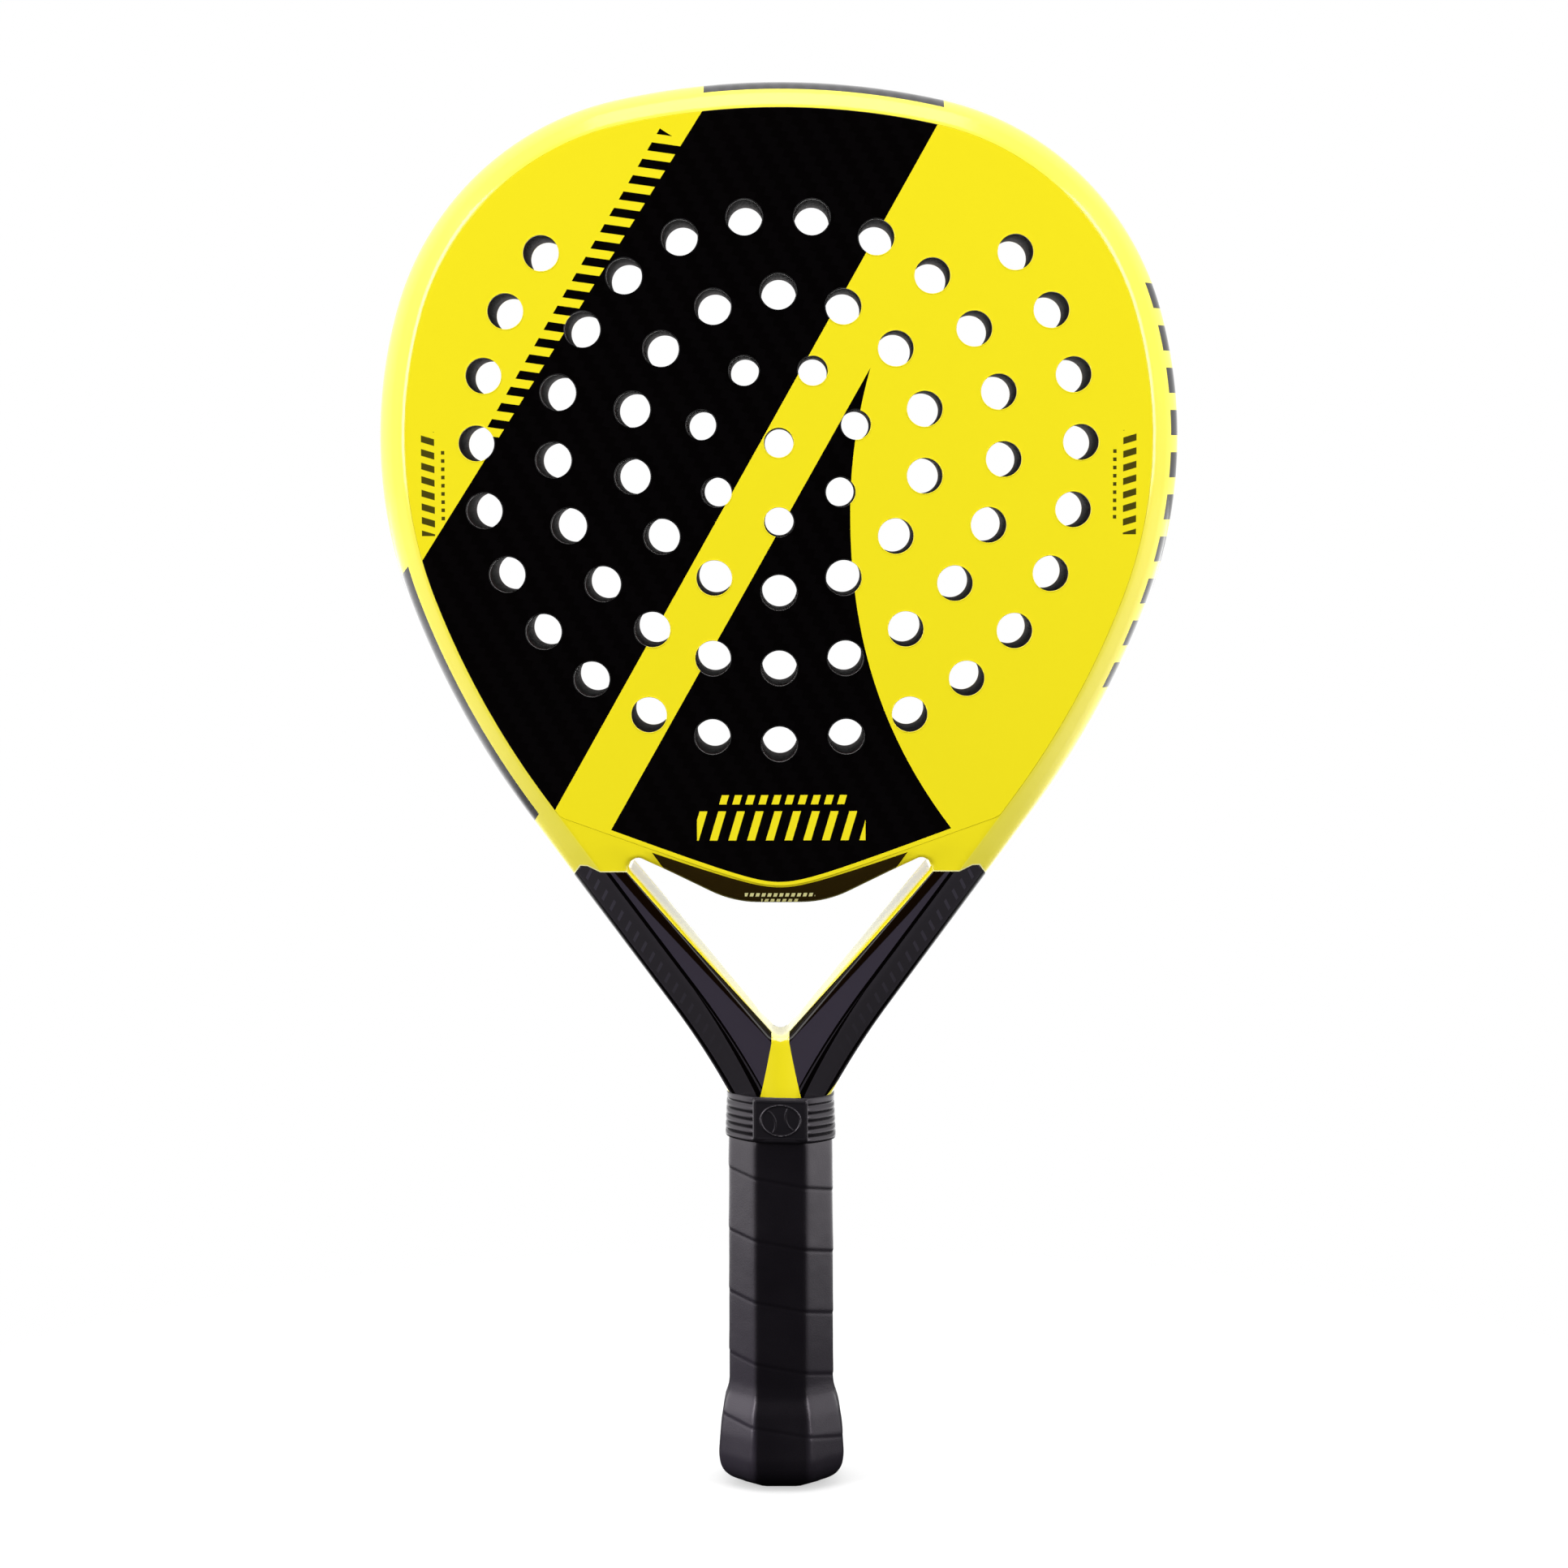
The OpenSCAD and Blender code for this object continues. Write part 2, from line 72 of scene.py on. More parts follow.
# Adds nodes to one shader tree and hands back their output sockets.
class Shade:
    def __init__(self, tree):
        self.tree = tree

    def add(self, kind, **settings):
        node = self.tree.nodes.new(kind)
        for name, value in settings.items():
            setattr(node, name, value)
        return node

    def put(self, socket, value):
        if isinstance(value, bpy.types.NodeSocket):
            self.tree.links.new(value, socket)
        else:
            socket.default_value = value

    def sum(self, how, *values):
        node = self.add("ShaderNodeMath", operation=how)
        for socket, value in zip(node.inputs, values):
            self.put(socket, value)
        return node.outputs[0]

    def plus(self, a, b):
        return self.sum("ADD", a, b)

    def minus(self, a, b):
        return self.sum("SUBTRACT", a, b)

    def times(self, a, b):
        return self.sum("MULTIPLY", a, b)

    def square(self, a):
        return self.times(a, a)

    # How far a lies past b, or nothing.
    def past(self, a, b):
        return self.sum("MAXIMUM", self.minus(a, b), 0.0)

    def over(self, a, b):
        return self.sum("GREATER_THAN", a, b)

    def under(self, a, b):
        return self.sum("LESS_THAN", a, b)

    def between(self, value, low, high):
        return self.times(self.over(value, low), self.under(value, high))

    def line(self, a, scale, shift):
        return self.sum("MULTIPLY_ADD", a, scale, shift)

    def either(self, *masks):
        result = masks[0]
        for mask in masks[1:]:
            result = self.sum("MAXIMUM", result, mask)
        return result

    def both(self, *masks):
        result = masks[0]
        for mask in masks[1:]:
            result = self.times(result, mask)
        return result

    def mix(self, mask, a, b):
        node = self.add("ShaderNodeMix", data_type="RGBA")
        self.put(node.inputs[0], mask)
        self.put(node.inputs[6], a)
        self.put(node.inputs[7], b)
        return node.outputs[2]

    def blend(self, mask, a, b):
        node = self.add("ShaderNodeMix", data_type="FLOAT")
        self.put(node.inputs[0], mask)
        self.put(node.inputs[2], a)
        self.put(node.inputs[3], b)
        return node.outputs[0]

    # Object coordinates in millimetres, as x, y and z.
    def place(self):
        coords = self.add("ShaderNodeTexCoord").outputs["Object"]
        split = self.add("ShaderNodeSeparateXYZ")
        self.put(split.inputs[0], coords)
        return [self.times(split.outputs[i], 1 / mm) for i in range(3)]

    def attribute(self, name):
        return self.add("ShaderNodeAttribute", attribute_name=name).outputs["Fac"]

    def group(self, tree, **values):
        node = self.add("ShaderNodeGroup", node_tree=tree)
        for name, value in values.items():
            self.put(node.inputs[name], value)
        return node


def newGroup(name, inputs, outputs):
    tree = bpy.data.node_groups.new(name, "ShaderNodeTree")
    for label, start in inputs:
        socket = tree.interface.new_socket(label, in_out="INPUT", socket_type="NodeSocketFloat")
        socket.default_value = start
    for label in outputs:
        tree.interface.new_socket(label, in_out="OUTPUT", socket_type="NodeSocketFloat")
    shade = Shade(tree)
    start = shade.add("NodeGroupInput")
    end = shade.add("NodeGroupOutput")
    return shade, start, end


# Faint ripple of a sprayed clear coat, with wiping marks in its gloss.
def lacquerGroup():
    shade, start, end = newGroup(
        "sprayedLacquer", [("Ripple size", 260.0), ("Gloss", 0.22), ("Marks", 0.08)], ["Roughness", "Height"])
    coords = shade.add("ShaderNodeTexCoord").outputs["Object"]
    ripple = shade.add("ShaderNodeTexNoise")
    shade.put(ripple.inputs["Vector"], coords)
    shade.put(ripple.inputs["Scale"], start.outputs["Ripple size"])
    ripple.inputs["Detail"].default_value = 2
    smear = shade.add("ShaderNodeTexNoise")
    shade.put(smear.inputs["Vector"], coords)
    smear.inputs["Scale"].default_value = 34
    smear.inputs["Detail"].default_value = 6
    smear.inputs["Roughness"].default_value = 0.65
    shade.put(end.inputs["Height"], ripple.outputs["Fac"])
    marks = shade.times(smear.outputs["Fac"], start.outputs["Marks"])
    shade.put(end.inputs["Roughness"], shade.plus(start.outputs["Gloss"], marks))
    return shade.tree


# Two-over-two twill: a mask of the tows that lie across, and the height of the tows.
def weaveGroup():
    shade, start, end = newGroup("carbonTwill", [("Tow width", 1.9), ("Turn", 0.78)], ["Across", "Height"])
    x, y, z = shade.place()
    rotate = start.outputs["Turn"]
    cosine, sine = shade.sum("COSINE", rotate), shade.sum("SINE", rotate)
    u = shade.minus(shade.times(x, cosine), shade.times(z, sine))
    v = shade.plus(shade.times(x, sine), shade.times(z, cosine))
    u = shade.sum("DIVIDE", u, start.outputs["Tow width"])
    v = shade.sum("DIVIDE", v, start.outputs["Tow width"])
    column, row = shade.sum("FLOOR", u), shade.sum("FLOOR", v)
    step = shade.sum("FLOORED_MODULO", shade.plus(column, row), 4.0)
    shade.put(end.inputs["Across"], shade.under(step, 1.5))
    crest = shade.sum("SINE", shade.times(shade.sum("FRACT", u), math.pi))
    shade.put(end.inputs["Height"], crest)
    return shade.tree


# Fine moulded or cast grain: its height, and a slow change of tone.
def grainGroup():
    sizes = [("Grain size", 1400.0), ("Tone size", 45.0)]
    shade, start, end = newGroup("fineGrain", sizes, ["Height", "Tone"])
    coords = shade.add("ShaderNodeTexCoord").outputs["Object"]
    for size, label, detail in (("Grain size", "Height", 3), ("Tone size", "Tone", 5)):
        noise = shade.add("ShaderNodeTexNoise")
        shade.put(noise.inputs["Vector"], coords)
        shade.put(noise.inputs["Scale"], start.outputs[size])
        noise.inputs["Detail"].default_value = detail
        shade.put(end.inputs[label], noise.outputs["Fac"])
    return shade.tree


lacquer = lacquerGroup()
weave = weaveGroup()
grain = grainGroup()


def newMaterial(name):
    material = bpy.data.materials.new(name)
    material.use_nodes = True
    shade = Shade(material.node_tree)
    return material, shade, material.node_tree.nodes["Principled BSDF"]


def bump(shade, height, strength, distance):
    node = shade.add("ShaderNodeBump")
    node.inputs["Strength"].default_value = strength
    node.inputs["Distance"].default_value = distance
    shade.put(node.inputs["Height"], height)
    return node.outputs["Normal"]


paint = {
    "yellow": (0.955, 0.815, 0.016, 1),
    # a paler yellow for the painted highlight on the rim's shoulder
    "shoulder": (0.97, 0.86, 0.075, 1),
    # cream for the printed dashes and outline, and for the painted highlight on the throat's wall
    "creamInkAndWallHighlight": (0.97, 0.92, 0.42, 1),
    "black": (0.0012, 0.0008, 0.0009, 1),
    "carbon": (0.006, 0.005, 0.0062, 1),
    "tow": (0.020, 0.018, 0.022, 1),
    # brown, a painted reflection of the yellow on the bridge's black band
    "brownReflection": (0.030, 0.018, 0.003, 1),
    # grey painted reflection on the arms' outer facets and their crease line
    "facet": (0.029, 0.026, 0.031, 1),
    "tick": (0.050, 0.045, 0.059, 1),
    # lilac painted reflection on the arms' inner facets
    "lilacReflection": (0.038, 0.032, 0.046, 1),
    "umber": (0.0055, 0.0025, 0.0008, 1),
    # painted sheen on the grip's slanted sides
    "paintedSheenTone": (0.033, 0.028, 0.039, 1),
}


# Mask of slanted bars that fill a box given as left, right, low and high.
def barRow(shade, x, z, box, pitch, share, slant):
    left, right, low, high = box
    phase = shade.sum("FRACT", shade.times(shade.minus(shade.line(z, -slant, x), left), 1 / pitch))
    inside = shade.both(shade.between(x, left, right), shade.between(z, low, high))
    return shade.both(inside, shade.under(phase, share))


racket = {
    "crown": (241, 12.5), "shoulder": (94.2, 61.3), "flank": (151.5, 37.2), "waist": (281, 15.4),
    "neck": (262, 7.8), "rootRadius": 39, "legX": 12, "collarEnd": 117.0, "step": 1.6,
    "forkAngle": 40.3, "forkZ": 146.8, "throatCorner": 2.9, "throatBottom": 3.5,
    "bridgeZ": 192.9, "bridgeFlat": 15.2, "bridgeSlope": 26.7, "bridgeBend": 34,
    "ridge": 9.4, "armCrease": 11.2, "wall": 0.6, "armTop": 211, "neckZ": 128.4, "neckDepth": 13.9,
    "finLow": 200.0, "finRise": 0.375, "sheetLow": 198.7, "sheetRise": 0.365,
    "bandLow": 198.2, "bandRise": 0.352, "vRound": 10.0,
    # the arms' slope past the crease, the bridge's fall below its band, and the throat's rounded lip
    "armSlope": 0.10, "armSteeper": 0.26, "creaseRound": 0.3, "bandFall": 0.42, "lip": 2.2, "lipLess": 1.1,
}
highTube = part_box("frame_tube")[1]
tipZ = highTube.z / mm
halfDepth = highTube.y / mm
forkSlope = math.tan(math.radians(racket["forkAngle"]))


# Places [x, z, heading] along an arc. A negative radius and turn bend the other way.
def walk(place, radius, turn):
    steps = max(2, round(abs(radius * math.radians(turn)) / racket["step"]))
    x, z, heading = place
    turns = [heading + turn * i / steps for i in range(1, steps + 1)]
    start = math.radians(heading)
    return [[x + radius * (math.sin(math.radians(t)) - math.sin(start)),
             z + radius * (math.cos(math.radians(t)) - math.cos(start)), t] for t in turns]


# The outline from the tip down the right side to the end under the collar.
def rightSide():
    places = [[0.0, tipZ, 0.0]]
    for part in ("crown", "shoulder", "flank", "waist"):
        places += walk(places[-1], *racket[part])
    armTop = places[-1]
    heading = math.radians(armTop[2])
    neckRadius, neckTurn = racket["neck"]
    straight = heading - math.radians(neckTurn)
    bendX = neckRadius * (math.sin(straight) - math.sin(heading))
    bendX += racket["rootRadius"] * (1 - math.sin(straight))
    length = (armTop[0] - bendX - racket["legX"]) / -math.cos(heading)
    steps = round(length / racket["step"])
    for i in range(1, steps + 1):
        run = length * i / steps
        places.append([armTop[0] + run * math.cos(heading), armTop[1] - run * math.sin(heading), armTop[2]])
    places += walk(places[-1], -neckRadius, -neckTurn)
    places += walk(places[-1], -racket["rootRadius"], 90 - places[-1][2])
    return np.array([p for p in places if p[1] > racket["collarEnd"]])


side = rightSide()


# The right side's points, drawn in from the outline.
def inset(distance):
    heading = np.radians(side[:, 2])
    return side[:, :2] - distance * np.stack([np.sin(heading), np.cos(heading)], 1)


# A closed loop from its right half, whose first point lies on the middle line.
def mirrorLoop(points):
    left = points[:0:-1] * [-1, 1]
    return np.concatenate([points, left])


def roundCorner(a, b, c, radius, count):
    a, b, c = map(np.array, (a, b, c))
    u = (a - b) / np.linalg.norm(a - b)
    v = (c - b) / np.linalg.norm(c - b)
    half = math.acos(float(u @ v)) / 2
    centre = b + (u + v) / np.linalg.norm(u + v) * radius / math.sin(half)
    first = b + u * radius / math.tan(half) - centre
    last = b + v * radius / math.tan(half) - centre
    spokes = [first + (last - first) * i / count for i in range(count + 1)]
    return [centre + s * radius / np.linalg.norm(s) for s in spokes]


# The open throat: a flat-bottomed V above and the arms' inner edges at the sides.
def throatLoop():
    slope = math.tan(math.radians(racket["bridgeSlope"]))
    flat, low = racket["bridgeFlat"], racket["bridgeZ"]
    top = (low - slope * (forkSlope * racket["forkZ"] + flat)) / (1 - slope * forkSlope)
    right = (forkSlope * (top - racket["forkZ"]), top)
    left = (-right[0], top)
    bottom = (0, racket["forkZ"])
    flatRight, flatLeft = (flat, low), (-flat, low)
    corners = [
        (flatRight, right, bottom, racket["throatCorner"], 14),
        (right, bottom, left, racket["throatBottom"], 12),
        (bottom, left, flatLeft, racket["throatCorner"], 14),
        (left, flatLeft, flatRight, racket["bridgeBend"], 8),
        (flatLeft, flatRight, right, racket["bridgeBend"], 8),
    ]
    return spread(np.array([p for corner in corners for p in roundCorner(*corner)]), 1.2)


# Adds points to a closed loop so that no stretch is longer than the spacing.
def spread(loop, spacing):
    points = []
    for a, b in zip(loop, np.roll(loop, -1, 0)):
        count = max(1, math.ceil(np.linalg.norm(b - a) / spacing))
        points += [a + (b - a) * i / count for i in range(count)]
    return np.array(points)


# A wide V with a rounded point, as the height of the line over x.
def vLine(x, low, rise):
    return low + rise * (np.sqrt(x * x + racket["vRound"] ** 2) - racket["vRound"])


# Edge of a face sheet: the ridge round the head, closed below by a wide V.
def faceLoop(shrink):
    ring = inset(racket["ridge"] + shrink)
    ring = ring[ring[:, 1] > vLine(ring[:, 0], racket["sheetLow"] + shrink, racket["sheetRise"])]
    x = np.linspace(ring[-1, 0], 0, 46)[1:-1]
    low = np.stack([x, vLine(x, racket["sheetLow"] + shrink, racket["sheetRise"])], 1)
    middle = [[0, racket["sheetLow"] + shrink]]
    return np.concatenate([ring, low, middle, low[::-1] * [-1, 1], ring[:0:-1] * [-1, 1]])


# Outline points [x, z] set at a depth, as [x, y, z].
def atDepth(points, depth):
    return np.stack([points[:, 0], np.broadcast_to(depth, len(points)), points[:, 1]], 1)


# Distance from each point to the nearest place on a path.
def distance(points, path, closed):
    a = path
    b = np.roll(path, -1, 0)
    if not closed:
        a, b = a[:-1], b[:-1]
    best = np.full(len(points), 1e9)
    for p, q in zip(a, b):
        d = q - p
        t = np.clip(((points - p) @ d) / max(d @ d, 1e-12), 0, 1)
        best = np.minimum(best, np.linalg.norm(points - p - t[:, None] * d, axis=1))
    return best


# Distance in from the outline, from the nearer side.
def edgeDistance(points):
    return np.minimum(distance(points, side[:, :2], False), distance(points, sideLeft, False))


# Even-odd test of points in a closed loop.
def inside(points, loop):
    x, z = points[:, 0], points[:, 1]
    hits = np.zeros(len(points), bool)
    for (ax, az), (bx, bz) in zip(loop, np.roll(loop, -1, 0)):
        crosses = (az > z) != (bz > z)
        if az != bz:
            hits ^= crosses & (x < (bx - ax) * (z - az) / (bz - az) + ax)
    return hits


def ramp(value, low, high):
    t = np.clip((value - low) / (high - low), 0, 1)
    return t * t * (3 - 2 * t)


# share of the half depth at a distance in from the outline: a steep side, a soft crease, a slope
shoulderIn = [0.6, 1.0, 1.7, 2.6, 3.9, 5.2, 6.6, 8.0, 8.8, 9.4]
shoulderOut = [0.47, 0.575, 0.68, 0.762, 0.835, 0.877, 0.921, 0.965, 0.987, 0.997]
throat = throatLoop()
sideLeft = side[:, :2] * [-1, 1]


# Half depth of the painted skin at each point, and its distance in from the outline.
def skinHeight(points):
    x, z = np.abs(points[:, 0]), points[:, 1]
    right = distance(points, side[:, :2], False)
    left = distance(points, sideLeft, False)
    edge = np.minimum(right, left)
    spread = 4.0
    mix = np.clip(0.5 + 0.5 * (right - left) / spread, 0, 1)
    deep = right * (1 - mix) + left * mix - spread * mix * (1 - mix)
    thin = np.clip((racket["armTop"] - z) / (racket["armTop"] - racket["neckZ"]), 0, 1.15)
    depth = halfDepth - (halfDepth - racket["neckDepth"]) * thin ** 1.2
    height = depth * np.interp(edge, shoulderIn, shoulderOut)
    bridge = ramp(forkSlope * (z - racket["forkZ"]) - x, 0, 6) * ramp(z, 186, 190)
    arm = ramp(214 - z, 0, 16) * (1 - bridge)
    slope = racket["armSlope"] + racket["armSteeper"] * np.clip((205 - z) / 55, 0, 1)
    bend = racket["creaseRound"]
    fall = np.logaddexp(0, (deep - racket["armCrease"]) / bend) * bend
    height -= arm * slope * fall
    drop = vLine(x, racket["bandLow"], racket["bandRise"]) - z
    height -= racket["bandFall"] * np.maximum(0, drop) * bridge * (1 - ramp(x, 37, 45))
    gap = distance(points, throat, True)
    radius = racket["lip"] - racket["lipLess"] * bridge
    rest = np.clip(radius - gap, 0, radius)
    height -= radius - np.sqrt(radius ** 2 - rest ** 2)
    return height, edge, gap


# Triangles between closed loops, with extra points inside them.
def triangulate(loops, extra, keep):
    points = np.concatenate(list(loops) + [extra])
    edges = []
    start = 0
    for loop in loops:
        edges += [(start + i, start + (i + 1) % len(loop)) for i in range(len(loop))]
        start += len(loop)
    verts, _, faces, origins, _, _ = delaunay_2d_cdt([Vector(p) for p in points], edges, [], 0, 1e-5)
    flat = np.array([tuple(v) for v in verts])
    tri = np.array([tuple(f) for f in faces])
    tri = tri[keep(flat[tri].mean(1))]
    a, b, c = flat[tri[:, 0]], flat[tri[:, 1]], flat[tri[:, 2]]
    turn = (b[:, 0] - a[:, 0]) * (c[:, 1] - a[:, 1]) - (b[:, 1] - a[:, 1]) * (c[:, 0] - a[:, 0])
    tri[turn < 0] = tri[turn < 0][:, ::-1]
    place = {}
    for i, olds in enumerate(origins):
        for old in olds:
            place[old] = i
    found = []
    start = 0
    for loop in loops:
        found.append([place[start + i] for i in range(len(loop))])
        start += len(loop)
    return flat, tri[np.abs(turn) > 1e-9], found


def meshObject(name, verts, faces, material, smooth=True):
    mesh = bpy.data.meshes.new(name)
    mesh.from_pydata([tuple(v) for v in np.asarray(verts) * mm], [], [tuple(map(int, f)) for f in faces])
    mesh.materials.append(material)
    mesh.polygons.foreach_set("use_smooth", [smooth] * len(mesh.polygons))
    mesh.update()
    obj = bpy.data.objects.new(name, mesh)
    scene.collection.objects.link(obj)
    return obj


# Keeps the edges hard where two faces meet at more than the angle.
def sharpen(obj, degrees):
    obj.data.set_sharp_from_angle(angle=math.radians(degrees))


def setAttribute(obj, name, values):
    layer = obj.data.attributes.new(name, "FLOAT", "POINT")
    layer.data.foreach_set("value", np.asarray(values, np.float32))


# Points inside the skin: rings along the rim and the throat, and a grid between them.
def skinPoints(outer, sheet):
    rings = [mirrorLoop(inset(d)) for d in shoulderIn[1:]]
    rim = np.concatenate(rings)
    rim = rim[rim[:, 1] > racket["collarEnd"] + 0.5]
    fold = np.concatenate([mirrorLoop(inset(racket["armCrease"] + d)) for d in (-0.5, -0.15, 0.15, 0.5)])
    fold = fold[(fold[:, 1] > racket["collarEnd"] + 0.5) & (fold[:, 1] < racket["armTop"] - 5)]
    near = []
    for gap in (0.25, 0.6, 1.1, 1.7, 2.4, 3.4):
        steps = np.roll(throat, -1, 0) - np.roll(throat, 1, 0)
        normal = np.stack([steps[:, 1], -steps[:, 0]], 1) / np.linalg.norm(steps, axis=1)[:, None]
        moved = throat + normal * gap
        if inside(moved[:1], throat)[0]:
            moved = throat - normal * gap
        near.append(moved[distance(moved, throat, True) > gap - 0.06])
    near = np.concatenate(near)
    x, z = np.meshgrid(np.arange(-80, 80.1, 1.6), np.arange(racket["collarEnd"] + 1, 232, 1.6))
    grid = np.stack([x.ravel(), z.ravel()], 1)
    v = np.arange(-44, 44.1, 1.2)
    crease = np.stack([v, vLine(v, racket["bandLow"], racket["bandRise"])], 1)
    edge = edgeDistance(grid)
    gap = distance(grid, throat, True)
    away = distance(grid, crease, False)
    fromFold = np.abs(edge - racket["armCrease"]) + np.maximum(0, grid[:, 1] - racket["armTop"] + 5)
    grid = grid[(edge > racket["ridge"] + 0.8) & (gap > 4.2) & (away > 1.0) & (fromFold > 0.9)]
    crease = crease[distance(crease, throat, True) > 1.0]
    grid = np.concatenate([grid, crease])
    grid = grid[~inside(grid, throat)]
    near = near[edgeDistance(near) > racket["ridge"] + 0.3]
    extra = np.concatenate([rim, fold, near, grid])
    extra = extra[inside(extra, outer) & ~inside(extra, throat) & ~inside(extra, sheet)]
    clear = np.minimum(distance(extra, outer, True), distance(extra, throat, True))
    clear = np.minimum(clear, distance(extra, sheet, True))
    return extra[clear > 0.22]


# Faces between the front loop, rings of points and the back loop.
def stitch(front, back, rings, faces):
    rows = [front] + rings + [back]
    count = len(front)
    for upper, lower in zip(rows, rows[1:]):
        for i in range(count):
            j = (i + 1) % count
            faces.append((upper[i], lower[i], lower[j], upper[j]))


# The painted skin of the hoop, both arms and the bridge, as one closed shell.
def frameSkin(material):
    outer = mirrorLoop(inset(racket["wall"]))
    silhouette = mirrorLoop(side[:, :2])
    sheet = faceLoop(0)
    extra = skinPoints(outer, sheet)

    def keep(centres):
        return inside(centres, outer) & ~inside(centres, throat) & ~inside(centres, sheet)

    flat, tri, (outerAt, throatAt, sheetAt) = triangulate([outer, throat, sheet], extra, keep)
    height, edge, gap = skinHeight(flat)
    count = len(flat)
    verts = [atDepth(flat, -height), atDepth(flat, height)]
    faces = [tuple(t) for t in tri] + [tuple(t[::-1] + count) for t in tri]
    edges = [edge, edge]
    total = 2 * count

    def addRing(points, depths, marks):
        nonlocal total
        verts.append(atDepth(points, depths))
        edges.append(np.full(len(points), marks, float))
        total += len(points)
        return list(range(total - len(points), total))

    across = [0.78, 0.55, 0.3, 0.0, -0.3, -0.55, -0.78]
    rimDepth = height[outerAt]
    inward = outer - silhouette
    rings = [addRing(silhouette + inward * k * k, -rimDepth * k, racket["wall"] * k * k) for k in across]
    stitch(outerAt, [i + count for i in outerAt], rings, faces)
    towards = np.array([0, 178.0])
    inwardStep = (towards - throat) / np.linalg.norm(towards - throat, axis=1)[:, None]
    wallDepth = height[throatAt]
    bulge = 0.5 * ramp(np.abs(throat[:, 0]), 3, 9) * ramp(206 - throat[:, 1], 0, 8)
    rings = []
    for k in across:
        swell = inwardStep * (bulge * (1 - k * k))[:, None]
        rings.append(addRing(throat + swell, -wallDepth * k, 20))
    stitch(throatAt, [i + count for i in throatAt], rings, faces)
    rings = [addRing(sheet, y, racket["ridge"]) for y in (-18.15, 0.0, 18.15)]
    stitch(sheetAt, [i + count for i in sheetAt], rings, faces)
    obj = meshObject("frameSkin", np.concatenate(verts), faces, material)
    setAttribute(obj, "rimInset", np.concatenate(edges))
    fixNormals(obj)
    sharpen(obj, 38)
    return obj


def fixNormals(obj):
    work = bmesh.new()
    work.from_mesh(obj.data)
    bmesh.ops.recalc_face_normals(work, faces=work.faces)
    work.to_mesh(obj.data)
    work.free()


rim = {
    "tickPitch": 4.4, "tickShare": 0.27, "creaseInset": 11.5, "shoulderHighlightInset": 9.3,
    # the arm panel's margin and top, which rises outwards and is cut off at the rim
    "panelInset": 0.85, "panelTop": 203.2, "riseFrom": 57.6, "rise": 0.45, "mostRise": 1.9,
    "cutInset": 5.0, "cut": -0.85, "outline": 0.35,
    "stemX": 2.9, "stemSpread": 0.185, "stemFlare": 0.0016, "stemZ": 146.6,
    # a small yellow corner by the collar, further out on the left
    "cornerX": 15.2, "cornerShift": 0.9, "cornerZ": 129.3, "cornerSlope": 0.85, "cornerTop": 134.0,
    # painted highlight: the middle of the throat's wall in cream, as its margin, top and half depth
    "wall": (1.6, 204.0, 11.0),
    # plain equal bars up the right side, as low, high and how far in from the outline
    "sideBars": (262, 396, -1.0, 3.3), "barPitch": 13.4, "barShare": 0.6,
    "strip": (218.0, 297.5), "stripInset": 4.3, "window": (-23.5, 52.6), "windowZ": 420.0, "windowInset": 3.4,
    "dashes": (-11.3, 11.3, 195.0, 196.2), "shortDashes": (-6.0, 6.0, 193.2, 194.2),
}


# Arm panel colours on black: a ticked outer facet, a dark crease, a paler inner facet and its dark border;
# the facets' grey and lilac are painted reflection.
def armTones(shade, z, edge, fork):
    phase = shade.line(edge, -1.3, shade.times(z, 1.3))
    phase = shade.sum("FRACT", shade.times(phase, 1 / rim["tickPitch"]))
    tick = shade.both(shade.under(phase, rim["tickShare"]), shade.between(edge, 4.0, 7.2))
    tick = shade.times(tick, soft(shade, z, 135.0, 195.0))
    outer = shade.mix(tick, paint["facet"], paint["tick"])
    # the painted reflection on the outer facet is left out in a black line near the outline
    outer = shade.mix(shade.between(edge, 1.5, 2.6), outer, paint["black"])
    # the crease widens towards the handle, with a painted highlight line inside it
    low = shade.past(165.0, z)
    beyond = shade.minus(edge, rim["creaseInset"])
    tone = shade.mix(shade.over(beyond, shade.line(low, -0.05, -1.15)), outer, paint["black"])
    line = shade.under(shade.sum("ABSOLUTE", shade.plus(beyond, 0.85)), shade.times(low, 0.01))
    tone = shade.mix(line, tone, paint["facet"])
    border = shade.line(shade.past(190.0, z), -0.043, 4.0)
    fade = soft(shade, fork, shade.minus(border, 0.1), shade.plus(border, 0.3))
    # painted reflection: the inner facet in lilac
    paintedReflection = shade.both(shade.over(beyond, 0.0), fade)
    tone = shade.mix(paintedReflection, tone, paint["lilacReflection"])
    border = shade.both(shade.under(fork, border), shade.over(beyond, 0.0))
    return shade.mix(border, tone, paint["umber"])


def soft(shade, value, low, high):
    node = shade.add("ShaderNodeMapRange", interpolation_type="SMOOTHSTEP")
    for label, given in (("Value", value), ("From Min", low), ("From Max", high)):
        shade.put(node.inputs[label], given)
    return node.outputs[0]


# The wide V with a rounded point again, for the paint.
def vLineOf(shade, x, low, rise):
    bend = shade.sum("SQRT", shade.plus(shade.square(x), racket["vRound"] ** 2))
    return shade.line(shade.minus(bend, racket["vRound"]), rise, low)
